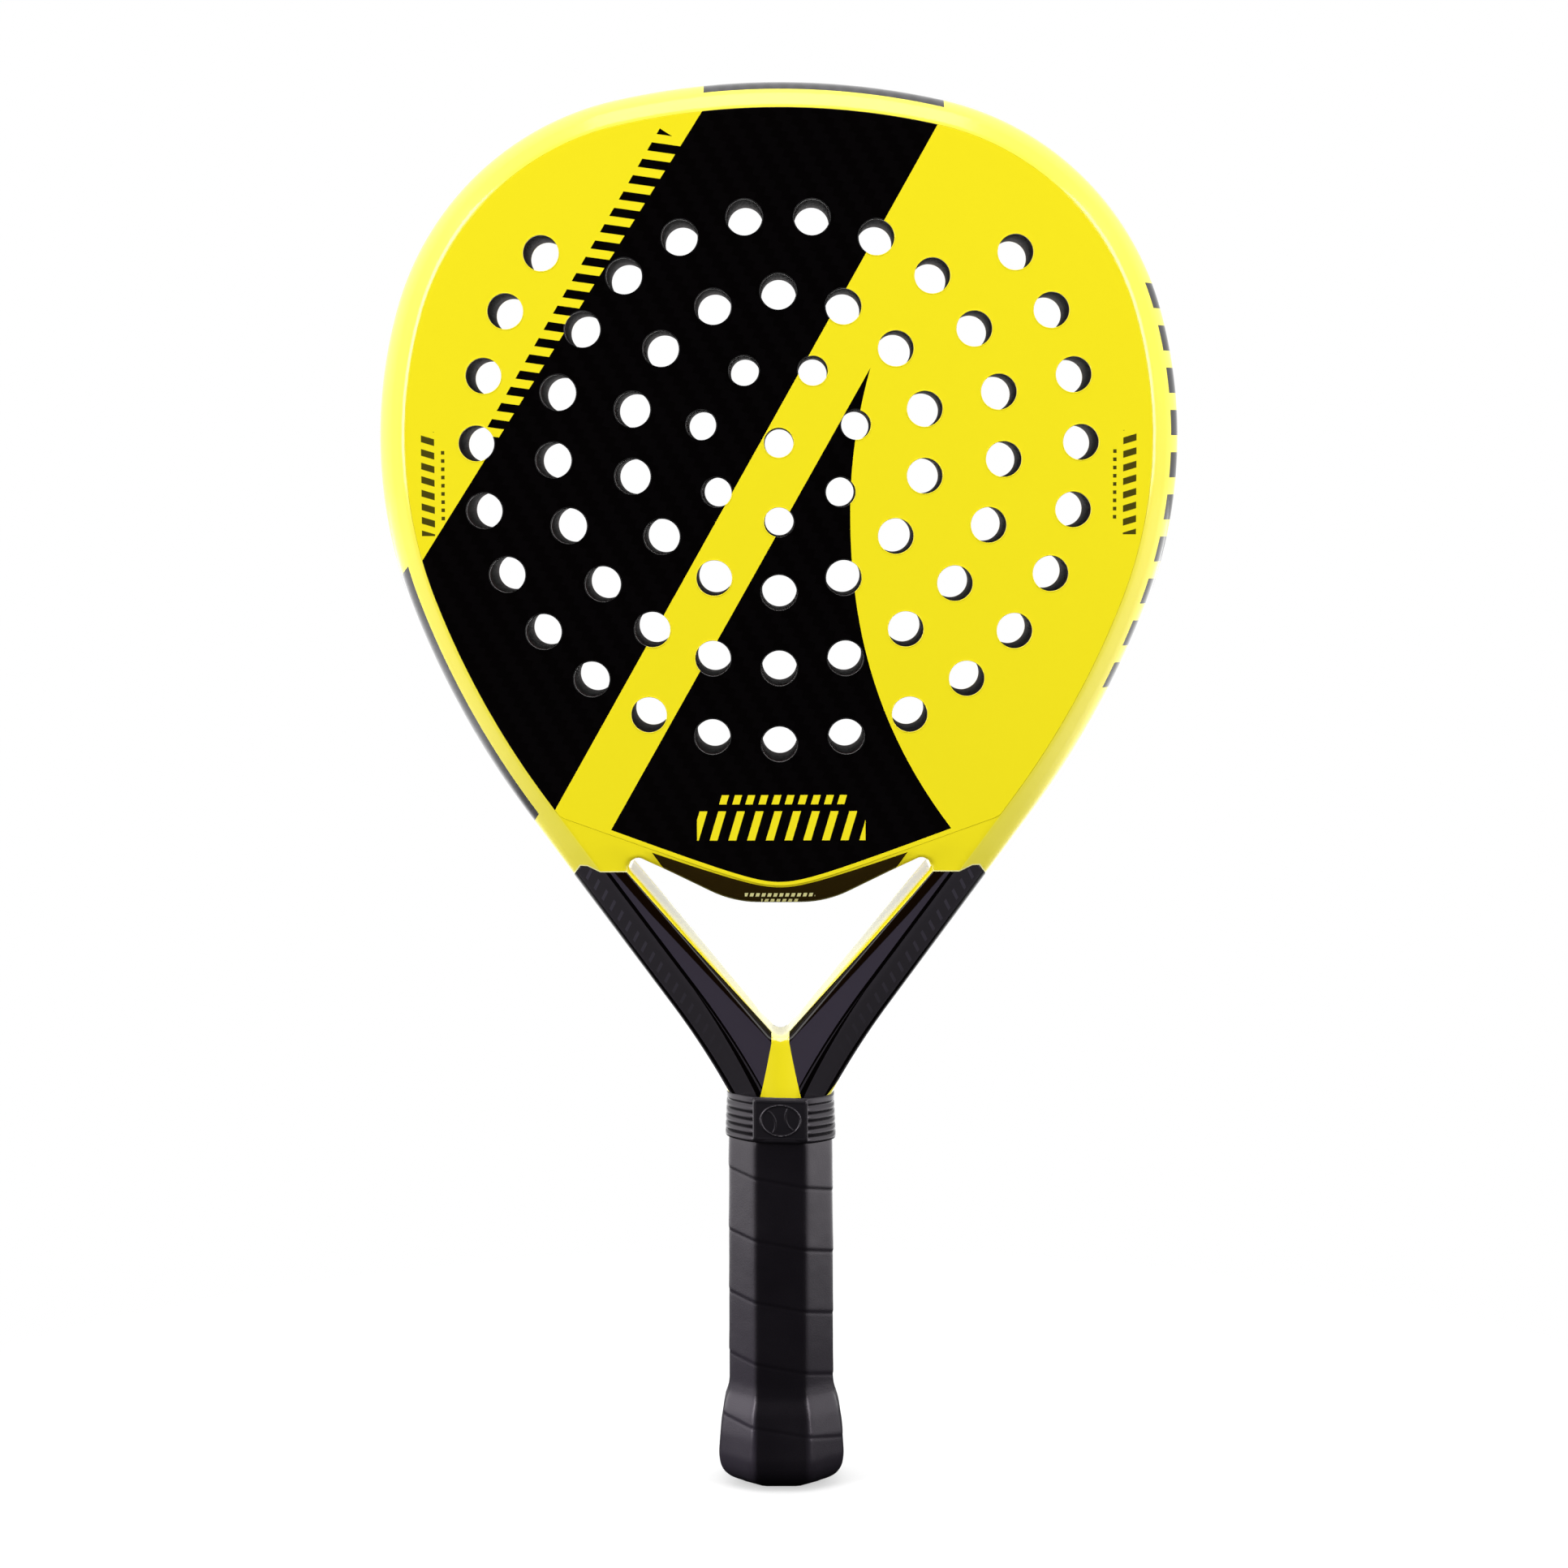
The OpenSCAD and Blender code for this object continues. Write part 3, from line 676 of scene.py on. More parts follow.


# Yellow lacquer with the black arm panels, the bridge band, the side strip, the marks and painted highlights.
def rimPaint():
    material, shade, bsdf = newMaterial("rimPaint")
    x, y, z = shade.place()
    side = shade.sum("ABSOLUTE", x)
    edge = shade.attribute("rimInset")
    fork = shade.minus(side, shade.times(shade.minus(z, racket["forkZ"]), forkSlope))
    fork = shade.times(fork, math.cos(math.radians(racket["forkAngle"])))
    lift = shade.times(shade.past(side, rim["riseFrom"]), rim["rise"])
    lift = shade.sum("MINIMUM", lift, rim["mostRise"])
    cut = shade.times(shade.past(rim["cutInset"], edge), rim["cut"])
    roof = shade.plus(shade.plus(lift, cut), rim["panelTop"])
    below = shade.past(rim["stemZ"], z)
    stem = shade.line(below, rim["stemSpread"], rim["stemX"])
    stem = shade.plus(stem, shade.times(shade.square(below), rim["stemFlare"]))
    foot = shade.line(shade.under(x, 0.0), rim["cornerShift"], rim["cornerX"])
    foot = shade.line(shade.minus(z, rim["cornerZ"]), rim["cornerSlope"], foot)
    corner = shade.both(shade.over(side, foot), shade.under(z, rim["cornerTop"]))
    margin = shade.line(soft(shade, z, 150.0, 195.0), rim["panelInset"], 0.15)
    arm = shade.both(shade.over(fork, margin), shade.over(side, stem), shade.minus(1.0, corner))
    panel = shade.both(arm, shade.under(z, roof))
    outline = shade.both(arm, shade.between(z, roof, shade.plus(roof, rim["outline"])))
    bandTop = vLineOf(shade, x, racket["bandLow"], racket["bandRise"])
    endCut = shade.under(shade.line(side, 0.87, shade.times(shade.minus(z, 209.4), -0.6)), 35.6)
    band = shade.both(shade.under(z, bandTop), shade.under(fork, -3.0), shade.over(z, 188.0), endCut)
    slopeEnd = shade.minus(z, shade.times(edge, 0.9))
    strip = shade.both(
        shade.under(x, 0.0), shade.under(edge, rim["stripInset"]), shade.between(slopeEnd, *rim["strip"]))
    window = shade.both(
        shade.between(x, *rim["window"]), shade.over(z, rim["windowZ"]),
        shade.under(edge, rim["windowInset"]))
    bars = barRow(shade, z, edge, rim["sideBars"], rim["barPitch"], rim["barShare"], 0.0)
    marks = shade.both(bars, shade.over(x, 60.0))
    dark = shade.either(panel, band, strip, window, marks)
    carbon = shade.group(weave, **{"Tow width": 1.7, "Turn": 0.5})
    wall = [shade.under(*pair) for pair in zip((fork, z, shade.sum("ABSOLUTE", y)), rim["wall"])]
    # painted highlight: a paler yellow on the shoulder between the outline and the face's ridge
    yellow = shade.mix(shade.under(edge, rim["shoulderHighlightInset"]), paint["yellow"], paint["shoulder"])
    # painted highlight: the throat's wall in cream
    yellow = shade.mix(shade.both(*wall), yellow, paint["creamInkAndWallHighlight"])
    woven = shade.both(shade.either(strip, window), carbon.outputs["Across"])
    black = shade.mix(woven, paint["carbon"], paint["tow"])
    black = shade.mix(panel, black, armTones(shade, z, edge, fork))
    dashes = shade.either(
        barRow(shade, x, z, rim["dashes"], 1.9, 0.62, 0.3),
        barRow(shade, x, z, rim["shortDashes"], 1.9, 0.62, 0.3))
    # the bridge band in brown as a painted reflection, with cream dashes in place of print
    black = shade.mix(band, black, shade.mix(dashes, paint["brownReflection"], paint["creamInkAndWallHighlight"]))
    colour = shade.mix(dark, yellow, black)
    colour = shade.mix(outline, colour, paint["creamInkAndWallHighlight"])
    shade.put(bsdf.inputs["Base Color"], colour)
    coat = shade.group(lacquer, **{"Gloss": 0.12, "Marks": 0.12})
    shade.put(bsdf.inputs["Roughness"], shade.plus(coat.outputs["Roughness"], shade.times(dark, -0.05)))
    outer = shade.both(panel, shade.either(shade.under(edge, rim["creaseInset"]), shade.under(fork, 4.0)))
    level = shade.line(shade.either(panel, band), -0.3, 0.5)
    shade.put(bsdf.inputs["Specular IOR Level"], shade.line(outer, -0.17, level))
    shade.put(bsdf.inputs["Normal"], bump(shade, coat.outputs["Height"], 0.12, 0.0004))
    bsdf.inputs["Coat Weight"].default_value = 0.2
    bsdf.inputs["Coat Roughness"].default_value = 0.06
    return material


skin = frameSkin(rimPaint())
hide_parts("frame_tube", "throat_bridge", "yoke_filler")
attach(skin, body)
print("frame skin is made,", len(skin.data.vertices), "points")


holes = {
    "z": 340.3, "rings": [25.2, 47.6, 71.7, 96.0], "small": 4.7, "large": 5.65, "keep": 130, "sides": 44,
    "bevel": 0.28, "sheet": 0.8,
    # steps of a rounded edge, as the share of its width and the drop: the sheet's outer edge, then the holes
    "edgeSteps": [(0.45, 0.02), (1.0, 0.06)], "holeSteps": [(0.45, 0.05), (1.0, 0.22)],
}


# Centre and radius of each hole: one in the middle, and rings of 7, 14, 21 and 28 places.
def holePlaces():
    places = [(0.0, holes["z"], holes["small"])]
    for ring, distanceOut in enumerate(holes["rings"], 1):
        for i in range(7 * ring):
            turn = i * 360 / (7 * ring)
            if ring == 4 and min(turn, 360 - turn) >= holes["keep"]:
                continue
            radius = holes["small"] if ring == 1 else holes["large"]
            angle = math.radians(turn)
            places.append((distanceOut * math.sin(angle), holes["z"] - distanceOut * math.cos(angle), radius))
    return places


def circle(x, z, radius):
    angles = np.arange(holes["sides"]) * 2 * math.pi / holes["sides"]
    return np.stack([x + radius * np.cos(angles), z + radius * np.sin(angles)], 1)


# A face sheet with rounded hole edges. Facing is -1 at the front and 1 at the back.
def faceSheet(name, facing, material):
    places = holePlaces()
    edgeLoop = faceLoop(0.18)
    loops = [edgeLoop] + [circle(x, z, r + holes["bevel"]) for x, z, r in places]
    bore = [faceLoop(0.06)] + [circle(x, z, r) for x, z, r in places]

    def keep(centres):
        good = inside(centres, edgeLoop)
        for x, z, r in places:
            good &= np.hypot(centres[:, 0] - x, centres[:, 1] - z) > (r + holes["bevel"]) * 0.995
        return good

    flat, tri, found = triangulate(loops, np.zeros((0, 2)), keep)
    count = len(flat)
    top = facing * halfDepth
    under = facing * (halfDepth - holes["sheet"])
    low = flat.copy()
    for at, loop in zip(found, bore):
        low[at] = loop
    verts = [atDepth(flat, top), atDepth(low, under)]
    faces = [tuple(t) for t in tri] + [tuple(t[::-1] + count) for t in tri]
    total = 2 * count
    for at, loop, inner in zip(found, loops, bore):
        rings = []
        for share, sink in holes["edgeSteps" if loop is edgeLoop else "holeSteps"]:
            points = loop + (inner - loop) * share
            verts.append(atDepth(points, top - facing * sink))
            rings.append(list(range(total, total + len(points))))
            total += len(points)
        stitch(at, [i + count for i in at], rings, faces)
    obj = meshObject(name, np.concatenate(verts), faces, material)
    fixNormals(obj)
    sharpen(obj, 14)
    return obj


face = {
    "bandLeft": (-22.9, 445.8, 1.572), "bandRight": (50.6, 440.4, 1.771), "finLeft": (-54.6, 215.9, 1.767),
    "finWaist": (22.7, 318.0), "stripes": (-94.2, 340.2, 57.7, 114.0),
    # bars up both sides, as low, high, inner and outer
    "sideWord": (311, 344, 109.4, 113.6), "sideRow": (316, 338, 106.2, 107.3),
    # bars across, as left, right, low and high
    "longBars": (-26.5, 27.5, 213.4, 222.8), "shortBars": (-19.7, 21.9, 225.0, 228.0),
}


# Black band and fin on yellow, with plain bars in place of any words.
def facePaint(name):
    material, shade, bsdf = newMaterial(name)
    x, y, z = shade.place()

    def lineAt(x0, z0, slope):
        return shade.minus(z, shade.line(x, slope, z0 - slope * x0))

    band = shade.both(
        shade.under(lineAt(*face["bandLeft"]), 0.0), shade.over(lineAt(*face["bandRight"]), 0.0))
    waistX, waistZ = face["finWaist"]
    down, up = shade.past(waistZ, z), shade.past(z, waistZ)
    bulge = shade.times(shade.square(down), shade.line(down, 1.17e-5, 0.0020))
    bulge = shade.plus(bulge, shade.times(shade.square(up), 1 / 326))
    finLow = vLineOf(shade, x, racket["finLow"], racket["finRise"])
    fin = shade.both(
        shade.under(lineAt(*face["finLeft"]), 0.0), shade.under(x, shade.plus(bulge, waistX)),
        shade.over(z, finLow))
    # slanted stripes that grow along the band's edge
    x0, z0, turn, length = face["stripes"]
    cosine, sine = math.cos(math.radians(turn)), math.sin(math.radians(turn))
    along = shade.plus(shade.times(shade.minus(x, x0), cosine), shade.times(shade.minus(z, z0), sine))
    out = shade.minus(shade.times(shade.minus(z, z0), cosine), shade.times(shade.minus(x, x0), sine))
    stripePhase = shade.sum("FRACT", shade.times(shade.line(out, 0.45, along), 1 / 6.0))
    grow = shade.line(along, 0.030, 1.2)
    stripes = shade.both(
        shade.between(along, 0.0, length), shade.under(out, grow), shade.under(stripePhase, 0.5))
    side = shade.sum("ABSOLUTE", x)
    word = shade.either(
        barRow(shade, z, side, face["sideWord"], 4.3, 0.5, 0.3),
        barRow(shade, z, side, face["sideRow"], 2.6, 0.45, 0.0))
    bars = shade.either(
        barRow(shade, x, z, face["longBars"], 6.0, 0.42, 0.3),
        barRow(shade, x, z, face["shortBars"], 4.2, 0.55, 0.3))
    black = shade.either(band, fin, shade.both(stripes, shade.over(lineAt(*face["bandLeft"]), 0.0)))
    black = shade.minus(black, shade.both(fin, bars))
    carbon = shade.group(weave, **{"Tow width": 2.6, "Turn": 0.26})
    ink = shade.mix(shade.times(carbon.outputs["Across"], 0.12), paint["black"], paint["carbon"])
    colour = shade.mix(shade.times(word, 0.93), paint["yellow"], paint["carbon"])
    colour = shade.mix(black, colour, ink)
    shade.put(bsdf.inputs["Base Color"], colour)
    coat = shade.group(lacquer, **{"Gloss": 0.12, "Marks": 0.10})
    shade.put(bsdf.inputs["Roughness"], coat.outputs["Roughness"])
    height = shade.plus(shade.times(coat.outputs["Height"], 0.6), shade.times(carbon.outputs["Height"], 0.06))
    shade.put(bsdf.inputs["Normal"], bump(shade, height, 0.1, 0.0003))
    bsdf.inputs["Specular IOR Level"].default_value = 0.3
    return material


facePrint = facePaint("facePrint")
for name, facing in (("front", -1), ("back", 1)):
    sheet = faceSheet(name + "Sheet", facing, facePrint)
    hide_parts("face_" + name)
    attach(sheet, body)
print("face sheets are made,", len(holePlaces()), "holes each")


# A Geometry Nodes tree in the making, with named inputs.
class Tree:
    def __init__(self, name):
        self.tree = bpy.data.node_groups.new(name, "GeometryNodeTree")
        self.tree.interface.new_socket("Geometry", in_out="INPUT", socket_type="NodeSocketGeometry")
        self.tree.interface.new_socket("Geometry", in_out="OUTPUT", socket_type="NodeSocketGeometry")
        self.values = {}
        self.start = self.tree.nodes.new("NodeGroupInput")
        self.end = self.tree.nodes.new("NodeGroupOutput")

    def input(self, label, value):
        self.tree.interface.new_socket(label, in_out="INPUT", socket_type="NodeSocketFloat")
        self.values[label] = value
        return self.start.outputs[label]

    def add(self, kind, settings=None, **values):
        node = self.tree.nodes.new(kind)
        for name, value in (settings or {}).items():
            setattr(node, name, value)
        for name, value in values.items():
            key = int(name[1:]) if name[0] == "i" and name[1:].isdigit() else name.replace("_", " ")
            self.put(node.inputs[key], value)
        return node

    def put(self, socket, value):
        if isinstance(value, bpy.types.NodeSocket):
            self.tree.links.new(value, socket)
        else:
            socket.default_value = value

    def sum(self, how, *values):
        node = self.tree.nodes.new("ShaderNodeMath")
        node.operation = how
        for socket, value in zip(node.inputs, values):
            self.put(socket, value)
        return node.outputs[0]

    def finish(self, geometry, material):
        real = self.add("GeometryNodeRealizeInstances", i0=geometry)
        paintIt = self.add("GeometryNodeSetMaterial", Geometry=real.outputs[0], Material=material)
        self.put(self.end.inputs[0], paintIt.outputs[0])

    # Runs the tree on an object and leaves its result as a plain mesh.
    def apply(self, obj):
        modifier = obj.modifiers.new("rule", "NODES")
        modifier.node_group = self.tree
        for item in self.tree.interface.items_tree:
            if item.in_out == "INPUT" and item.name in self.values:
                modifier[item.identifier] = self.values[item.name]
        bpy.context.view_layer.update()
        graph = bpy.context.evaluated_depsgraph_get()
        mesh = bpy.data.meshes.new_from_object(obj.evaluated_get(graph))
        obj.modifiers.remove(modifier)
        obj.data = mesh
        mesh.polygons.foreach_set("use_smooth", [True] * len(mesh.polygons))
        mesh.update()
        return obj


bead = {"thickness": 0.17, "sides": 8, "around": 40}


# A bead of lacquer round each hole, placed by the rule of the hole rings.
def holeBeads(name, facing, material):
    rule = Tree(name + "Rule")
    thick = rule.input("Bead Thickness", bead["thickness"] * mm)
    patternZ = rule.input("Pattern Height", holes["z"] * mm)
    depth = rule.input("Face Depth", facing * (halfDepth - 0.06) * mm)
    radii = {}
    for size in ("small", "large"):
        radii[size] = rule.input(size.title() + " Radius", (holes[size] + 0.2) * mm)
    shapes = {}
    profile = rule.add("GeometryNodeCurvePrimitiveCircle", Resolution=bead["sides"], Radius=thick)
    for size, radius in radii.items():
        loop = rule.add("GeometryNodeCurvePrimitiveCircle", Resolution=bead["around"], Radius=radius)
        tube = rule.add("GeometryNodeCurveToMesh", i0=loop.outputs[0], i1=profile.outputs[0])
        shapes[size] = tube.outputs[0]
    join = rule.add("GeometryNodeJoinGeometry")
    centre = rule.add("GeometryNodePoints", Count=1)
    middle = rule.add("GeometryNodeInstanceOnPoints", Points=centre.outputs[0], Instance=shapes["small"])
    rule.tree.links.new(middle.outputs[0], join.inputs[0])
    for ring, radius in enumerate(holes["rings"], 1):
        points = rule.add("GeometryNodeMeshCircle", Vertices=7 * ring, Radius=radius * mm).outputs[0]
        points = rule.add("GeometryNodeTransform", Geometry=points, Rotation=(0, 0, -math.pi / 2)).outputs[0]
        if ring == len(holes["rings"]):
            split = rule.add("ShaderNodeSeparateXYZ", i0=rule.add("GeometryNodeInputPosition").outputs[0])
            limit = -radius * math.cos(math.radians(holes["keep"])) * mm
            high = rule.sum("GREATER_THAN", split.outputs[1], limit)
            points = rule.add("GeometryNodeDeleteGeometry", i0=points, i1=high).outputs[0]
        shape = shapes["small" if ring == 1 else "large"]
        placed = rule.add("GeometryNodeInstanceOnPoints", Points=points, Instance=shape)
        rule.tree.links.new(placed.outputs[0], join.inputs[0])
    shift = rule.add("ShaderNodeCombineXYZ", i1=depth, i2=patternZ)
    stood = rule.add(
        "GeometryNodeTransform", Geometry=join.outputs[0], Translation=shift.outputs[0],
        Rotation=(math.pi / 2, 0, 0))
    rule.finish(stood.outputs[0], material)
    obj = bpy.data.objects.new(name, bpy.data.meshes.new(name))
    scene.collection.objects.link(obj)
    rule.apply(obj)
    fixNormals(obj)
    return obj


for name, facing in (("front", -1), ("back", 1)):
    beads = holeBeads(name + "HoleBeads", facing, facePrint)
    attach(beads, body)
    print(beads.name, len(beads.data.polygons), "faces")


grip = {
    "halfWidth": 17.0, "halfDepth": 16.5, "cutX": 8.7, "cutY": 9.0, "corner": 42, "around": 168, "row": 0.5,
    "pitch": 20.4, "seamZ": 96.3, "lift": 0.24, "wrinkle": 0.2, "flat": 8.4,
    # height and half width, from the end under the collar down over the flare to the underside
    "outer": [(119, 16.0), (117.2, 16.2), (116.2, 16.85), (114, 17.0), (34, 17.0), (30, 17.35), (27.5, 18.2),
              (25, 18.9), (17.5, 20.0), (10, 20.55), (6.5, 20.1), (4.0, 18.9), (2.2, 17.0), (1.35, 15.2)],
    "inner": [(1.6, 14.9), (4, 17.1), (9.3, 18.7), (25, 16.9), (30, 15.2), (118.6, 15.1)],
}


# Points round the handle: eight sides with rounded corners, at one height.
def octagonRing(halfWidth, z, corner, count, deep=None):
    deep = halfWidth + grip["halfDepth"] - grip["halfWidth"] if deep is None else deep
    scale = halfWidth / grip["halfWidth"]
    cutX, cutY = grip["cutX"] * scale, grip["cutY"] * scale
    length = math.hypot(cutX, cutY)
    far = (cutY * halfWidth + cutX * (deep - cutY)) / length
    angles = np.arange(count) * 2 * math.pi / count
    c, s = np.abs(np.cos(angles)), np.abs(np.sin(angles))
    slant = (c * cutY + s * cutX) / (length * far)
    total = (c / halfWidth) ** corner + (s / deep) ** corner + slant ** corner
    radius = total ** (-1 / corner)
    return np.stack([radius * np.cos(angles), radius * np.sin(angles), np.full(count, z)], 1)


def ringFaces(rows, count, closed):
    faces = []
    for i in range(rows if closed else rows - 1):
        j = (i + 1) % rows
        faces += [(i * count + k, i * count + (k + 1) % count, j * count + (k + 1) % count, j * count + k)
                  for k in range(count)]
    return faces


# Heights and widths at even steps along a profile, bent smoothly through its points.
def resample(profile, step):
    points = np.array(profile, float)
    run = np.concatenate([[0], np.cumsum(np.hypot(*np.diff(points, axis=0).T))])
    at = np.linspace(0, run[-1], round(run[-1] / step) + 1)
    even = np.stack([np.interp(at, run, points[:, i]) for i in (0, 1)], 1)
    for _ in range(7):
        even[1:-1] = 0.25 * even[:-2] + 0.5 * even[1:-1] + 0.25 * even[2:]
    return even


# Raises the lower edge of each turn of tape over the turn below it.
def windingRule(material):
    rule = Tree("tapeWinding")
    pitch = rule.input("Pitch", grip["pitch"] * mm)
    seam = rule.input("Seam Height", grip["seamZ"] * mm)
    lift = rule.input("Edge Lift", grip["lift"] * mm)
    wrinkle = rule.input("Wrinkle", grip["wrinkle"] * mm)
    place = rule.add("GeometryNodeInputPosition").outputs[0]
    split = rule.add("ShaderNodeSeparateXYZ", i0=place)
    turn = rule.sum("DIVIDE", rule.sum("ARCTAN2", split.outputs[1], split.outputs[0]), 2 * math.pi)
    rise = rule.sum("DIVIDE", rule.sum("SUBTRACT", split.outputs[2], seam), pitch)
    phase = rule.sum("FRACT", rule.sum("ADD", rise, turn))
    curve = rule.add("ShaderNodeFloatCurve", Value=phase)
    line = curve.mapping.curves[0]
    shape = [(0.0, 0.30), (0.022, 0.86), (0.05, 0.95), (0.12, 0.88), (0.35, 0.62), (0.7, 0.46), (0.955, 0.36),
             (0.985, 0.02), (1.0, 0.30)]
    line.points[0].location = shape[0]
    line.points[1].location = shape[-1]
    for point in shape[1:-1]:
        line.points.new(*point)
    for point in line.points:
        point.handle_type = "VECTOR"
    curve.mapping.update()
    noise = rule.add("ShaderNodeTexNoise", Vector=place, Scale=70.0, Detail=3.0)
    rough = rule.sum("MULTIPLY", rule.sum("SUBTRACT", noise.outputs[0], 0.5), wrinkle)
    raised = rule.sum("MULTIPLY", rule.sum("SUBTRACT", curve.outputs[0], 0.5), lift)
    cover = rule.add("GeometryNodeInputNamedAttribute", Name="cover").outputs["Attribute"]
    total = rule.sum("MULTIPLY", rule.sum("ADD", raised, rough), cover)
    normal = rule.add("GeometryNodeInputNormal").outputs[0]
    offset = rule.add("ShaderNodeVectorMath", {"operation": "SCALE"}, i0=normal, Scale=total)
    moved = rule.add("GeometryNodeSetPosition", Geometry=rule.start.outputs[0], Offset=offset.outputs[0])
    rule.finish(moved.outputs[0], material)
    return rule


# Soft rubber or cushioned tape with a fine grain and worn, paler tones.
def rubberMaterial(name, colour, dusty, roughness, size, depth):
    material, shade, bsdf = newMaterial(name)
    grainNode = shade.group(grain, **{"Grain size": size, "Tone size": 38.0})
    tone = shade.sum("MULTIPLY_ADD", grainNode.outputs["Tone"], 1.6, -0.45)
    tone = shade.sum("MINIMUM", shade.sum("MAXIMUM", tone, 0.0), 1.0)
    shade.put(bsdf.inputs["Base Color"], shade.mix(tone, colour, dusty))
    shade.put(bsdf.inputs["Roughness"], shade.line(grainNode.outputs["Tone"], 0.22, roughness))
    shade.put(bsdf.inputs["Normal"], bump(shade, grainNode.outputs["Height"], 0.35, depth))
    return material, shade, bsdf


def woundGrip():
    material, shade, bsdf = rubberMaterial(
        "gripTape", (0.0045, 0.0036, 0.0052, 1), (0.0075, 0.0062, 0.0088, 1), 0.22, 2400.0, 0.0001)
    dark = bsdf.inputs["Base Color"].links[0].from_socket
    # painted sheen on the slanted sides
    paintedSheenTone = shade.mix(shade.attribute("paintedSheen"), dark, paint["paintedSheenTone"])
    shade.put(bsdf.inputs["Base Color"], paintedSheenTone)
    bsdf.inputs["Specular Tint"].default_value = (0.98, 0.9, 1, 1)
    outer = resample(grip["outer"], grip["row"])
    inner = resample(grip["inner"], 3.0)
    rings = [octagonRing(w, z, grip["corner"], grip["around"]) for z, w in np.concatenate([outer, inner])]
    verts = np.concatenate(rings)
    obj = meshObject("woundGrip", verts, ringFaces(len(rings), grip["around"], True), material)
    fixNormals(obj)
    x, z = verts[:, 0], verts[:, 2]
    cover = ramp(z, 1.5, 6.0) * (1 - ramp(z, 114.5, 116.0))
    cover[len(outer) * grip["around"]:] = 0
    setAttribute(obj, "cover", cover)
    # painted sheen: the slanted sides are paler, most of all at the left, and more towards the bottom
    paintedSheen = ramp(np.abs(x), grip["flat"] - 0.5, grip["flat"] + 0.7) * np.where(x < 0, 0.8, 0.3)
    paintedSheen *= np.clip(1.5 - z / 80, 0, 1.2)
    setAttribute(obj, "paintedSheen", paintedSheen)
    windingRule(material).apply(obj)
    return obj


wound = woundGrip()
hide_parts("base_grip")
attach(wound, body)
print("grip is wound,", len(wound.data.vertices), "points")


collar = {
    "low": 114.5, "high": 129.6, "halfWidth": 17.05, "halfDepth": 16.9, "corner": 14, "around": 144,
    "ribs": 5, "ribRise": 0.8, "rimBand": 3.0, "row": 0.22, "tilt": 0.028,
    "badge": {"halfWidth": 9.0, "low": 115.2, "high": 129.2, "rise": 0.75, "corner": 1.3, "grid": 0.22},
}


# The sleeve sits a little lower on the right.
def tilted(verts):
    moved = verts.copy()
    moved[:, 2] -= verts[:, 0] * collar["tilt"]
    return moved


def collarSleeve(material):
    low, high = collar["low"], collar["high"]
    heights = np.linspace(low, high, round((high - low) / collar["row"]) + 1)
    ribTop = high - collar["rimBand"]
    phase = (heights - low) / (ribTop - low) * collar["ribs"]
    wave = np.where(heights < ribTop, np.abs(np.sin(phase * math.pi)) ** 0.6, 0.0)
    base = collar["halfWidth"] + 0.35 * (1 - (heights - low) / (high - low))
    width = base + collar["ribRise"] * wave * (1 - 0.35 * (heights - low) / (high - low))
    width += 0.5 * ramp(heights, ribTop + 0.4, ribTop + 1.0)
    ends = np.minimum(heights - low, high - heights)
    width -= 0.45 * (1 - ramp(ends, 0, 0.5))
    inner = [(high - 0.1, 16.6), ((low + high) / 2, 16.3), (low + 0.1, 16.45)]
    shape = [(z, w) for z, w in zip(heights, width)] + inner
    deep = collar["halfDepth"] - collar["halfWidth"]
    rings = [octagonRing(w, z, collar["corner"], collar["around"], w + deep) for z, w in shape]
    verts = tilted(np.concatenate(rings))
    obj = meshObject("collarSleeve", verts, ringFaces(len(rings), collar["around"], True), material)
    fixNormals(obj)
    sharpen(obj, 60)
    return obj


# Height of the badge's face: a rounded edge, a raised oval and a plain ball with two seams.
def badgeRelief(x, z):
    badge = collar["badge"]
    mid = (badge["low"] + badge["high"]) / 2
    halfHeight = (badge["high"] - badge["low"]) / 2
    corner = badge["corner"]
    dx = np.maximum(np.abs(x) - badge["halfWidth"] + corner, 0)
    dz = np.maximum(np.abs(z - mid) - halfHeight + corner, 0)
    edge = corner - np.hypot(dx, dz)
    edge = np.minimum(edge, np.minimum(badge["halfWidth"] - np.abs(x), halfHeight - np.abs(z - mid)))
    relief = badge["rise"] * (1 - (1 - np.clip(edge / 0.5, 0, 1)) ** 2) ** 0.5
    relief += 0.16 * np.exp(-((edge - 1.0) / 0.16) ** 2)
    oval = np.hypot(x / 6.4, (z - mid) / 5.0)
    relief += 0.32 * np.exp(-((oval - 1) * 5.6 / 0.2) ** 2)
    within = 1 - ramp(oval, 0.86, 0.94)
    for way in (-1, 1):
        seam = np.hypot(x - way * 6.6, z - mid - way * 1.2) - 5.0
        relief += 0.22 * np.exp(-(seam / 0.24) ** 2) * within
    return relief


